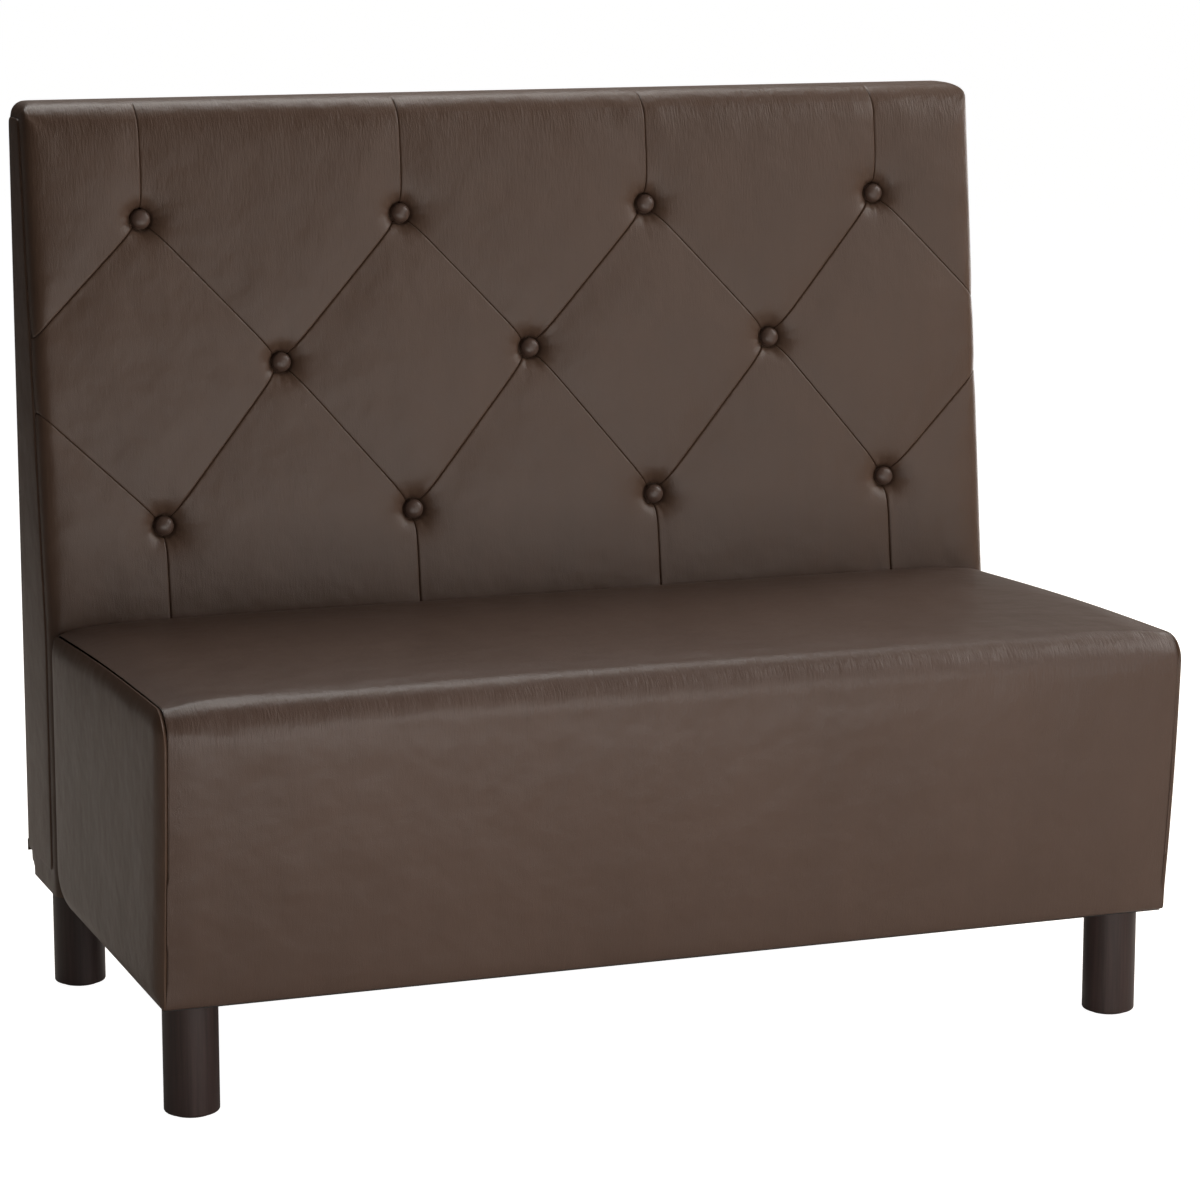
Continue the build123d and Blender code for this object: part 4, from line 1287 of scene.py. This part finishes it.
# %% One staple, copied round both sheets
def model_staple():
    """The crown of a staple, 11 mm long, with its two ends turned up into the wood."""
    staple = add_block("staple", (-0.0055, -0.0006, -0.00045), (0.0055, 0.0006, 0.0))
    cut_across(staple, 0, [-0.0047, 0.0047])
    q = points_of(staple)
    q[np.abs(q[:, 0]) > 0.005, 2] += 0.0004
    move_points(staple, q)
    round_edges(staple, lambda p: p.z < -1e-5, 0.00018, 1)
    return staple


def staple_spots(low, high, inset):
    """Places of staples along a sheet's rim, each with whether it is turned by 90 degrees."""
    wide, deep = high[0] - low[0] - 2 * inset, high[1] - low[1] - 2 * inset
    across, along = round(wide / staple_spacing), round(deep / staple_spacing)
    for k in range(across + 1):
        for y in (low[1] + inset, high[1] - inset):
            yield low[0] + inset + wide * k / across, y, 0
    for k in range(along):
        for x in (low[0] + inset, high[0] - inset):
            yield x, low[1] + inset + deep * (k + 0.5) / along, 1


staple_spacing = 0.062
pattern_staple = model_staple()
print("staple faces:", len(pattern_staple.data.polygons))
staple_points = points_of(pattern_staple)
for part, inset in (("seat", 0.008), ("back", 0.007)):
    low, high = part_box(f"{part}_dust_cover")
    layouts = []
    for number, (x, y, turned) in enumerate(staple_spots(low, high, inset)):
        angle = math.radians(90 * turned + 14 * math.sin(number * 2.3))
        turn = np.array(Matrix.Rotation(-angle, 3, "Z"))
        layouts.append(staple_points @ turn + (x, y, low[2] - 0.00012))
    staples = join_copies(pattern_staple, f"{part}_dust_sheet_staples", layouts)
    finish_piece(staples, steel, "plated_steel", smooth_angle=30)
bpy.data.objects.remove(pattern_staple)

# %% [markdown]
# ## The studio
# The bench stands on a pale floor in a white studio. Four soft lamps stand to the right of
# the camera, from nearly in front to behind the right end. A wide one hangs high behind the
# back and lights the seat's top and both ends, and a low one in front opens up the foot. In
# the cloth's gloss the room is dark, apart from a warm wall behind on the right, which is
# what draws the cushions' dark edges.


# %% The floor and the white surroundings
def ray_signals(tree):
    """Whether a ray comes from the camera, from gloss or through glass."""
    paths = tree.nodes.new("ShaderNodeLightPath").outputs
    kinds = ("Is Camera Ray", "Is Glossy Ray", "Is Transmission Ray")
    return [Signal(tree, paths[kind]) for kind in kinds]


ambient, dark_room, bright_wall = 0.035, 0.03, 0.27
white, warm_white = (1.0, 1.0, 1.0, 1.0), (1.0, 0.93, 0.84, 1.0)
world = bpy.data.worlds.new("studio")
bpy.context.scene.world = world
world.use_nodes = True
world_tree = world.node_tree
backdrop = world_tree.nodes["Background"]
camera_ray, glossy_ray, glass_ray = ray_signals(world_tree)
direction = world_tree.nodes.new("ShaderNodeTexCoord")
right, rearward, up = split(Signal(world_tree, direction.outputs["Generated"]))
on_wall = (rearward * 2.5 + 0.5).kept_between() * (1.0 - ((up - 0.22) * 6.0).kept_between())
on_wall = on_wall * ((right - 0.05) * 6.0).kept_between()
direct = camera_ray.sum_of("MAXIMUM", camera_ray, glass_ray)
reflected = dark_room + (bright_wall - dark_room) * on_wall
strength = ambient + (1.0 - ambient) * direct + (reflected - ambient) * glossy_ray
wall_colour = blend_colours(glossy_ray, white, warm_white)
world_tree.links.new(wall_colour.socket, backdrop.inputs["Color"])
world_tree.links.new(strength.socket, backdrop.inputs["Strength"])

bpy.ops.object.select_all(action="DESELECT")
bpy.ops.mesh.primitive_plane_add(size=60)
floor = bpy.context.object
floor.name = "floor"
floor_paint = bpy.data.materials.new("floor_paint")
floor_paint.use_nodes = True
floor_shader = floor_paint.node_tree.nodes["Principled BSDF"]
floor_shader.inputs["Base Color"].default_value = (0.60, 0.55, 0.50, 1.0)
floor_shader.inputs["Roughness"].default_value = 0.9
floor_shader.inputs["Specular IOR Level"].default_value = 0.0
floor_shader.inputs["Emission Color"].default_value = white
floor_camera, floor_glossy, floor_glass = ray_signals(floor_paint.node_tree)
floor_seen = floor_camera.sum_of("MAXIMUM", floor_camera, floor_glossy * 0.04)
floor_seen = floor_seen.sum_of("MAXIMUM", floor_seen, floor_glass)
lay(floor_shader, floor_seen * 0.98, "Emission Strength")
floor.data.materials.append(floor_paint)

# %% The lamps
lamp_colour = (1.0, 0.985, 0.96)
lamp_aim = Vector((0.0, 0.0, 0.5))


def hang_lamp(name, azimuth, elevation, distance, width, height, power):
    """A soft lamp that looks at the bench; azimuth 0 is in front and 90 to the right."""
    lamp = bpy.data.lights.new(name, "AREA")
    lamp.shape = "RECTANGLE"
    lamp.size, lamp.size_y = width, height
    lamp.energy = power
    lamp.color = lamp_colour
    holder = bpy.data.objects.new(name, lamp)
    side, up = math.radians(azimuth), math.radians(elevation)
    away = (math.sin(side) * math.cos(up), -math.cos(side) * math.cos(up), math.sin(up))
    away = Vector(away)
    holder.location = lamp_aim + away * distance
    holder.rotation_mode = "QUATERNION"
    holder.rotation_quaternion = away.to_track_quat("Z", "Y")
    bpy.context.scene.collection.objects.link(holder)
    holder.visible_camera = False
    print(name, "at", [round(v, 2) for v in holder.location])


hang_lamp("front_lamp", 25, 6, 3.8, 2.4, 1.2, 16.5)
hang_lamp("high_lamp", 40, 30, 3.6, 2.6, 2.0, 20)
hang_lamp("right_lamp", 78, 35, 3.6, 2.0, 2.0, 60)
hang_lamp("edge_lamp", 118, 12, 3.4, 1.2, 2.2, 34)
hang_lamp("rear_top_lamp", 180, 60, 3.4, 3.0, 1.8, 74)
hang_lamp("low_lamp", -2, -5, 1.95, 2.2, 0.4, 14)

# %% [markdown]
# ## At the end
# Padding may stand a little proud of the frame, but the bench keeps its measured size. The
# view transform is set to Standard.

# %% Set the view transform
bpy.context.scene.view_settings.view_transform = "Standard"
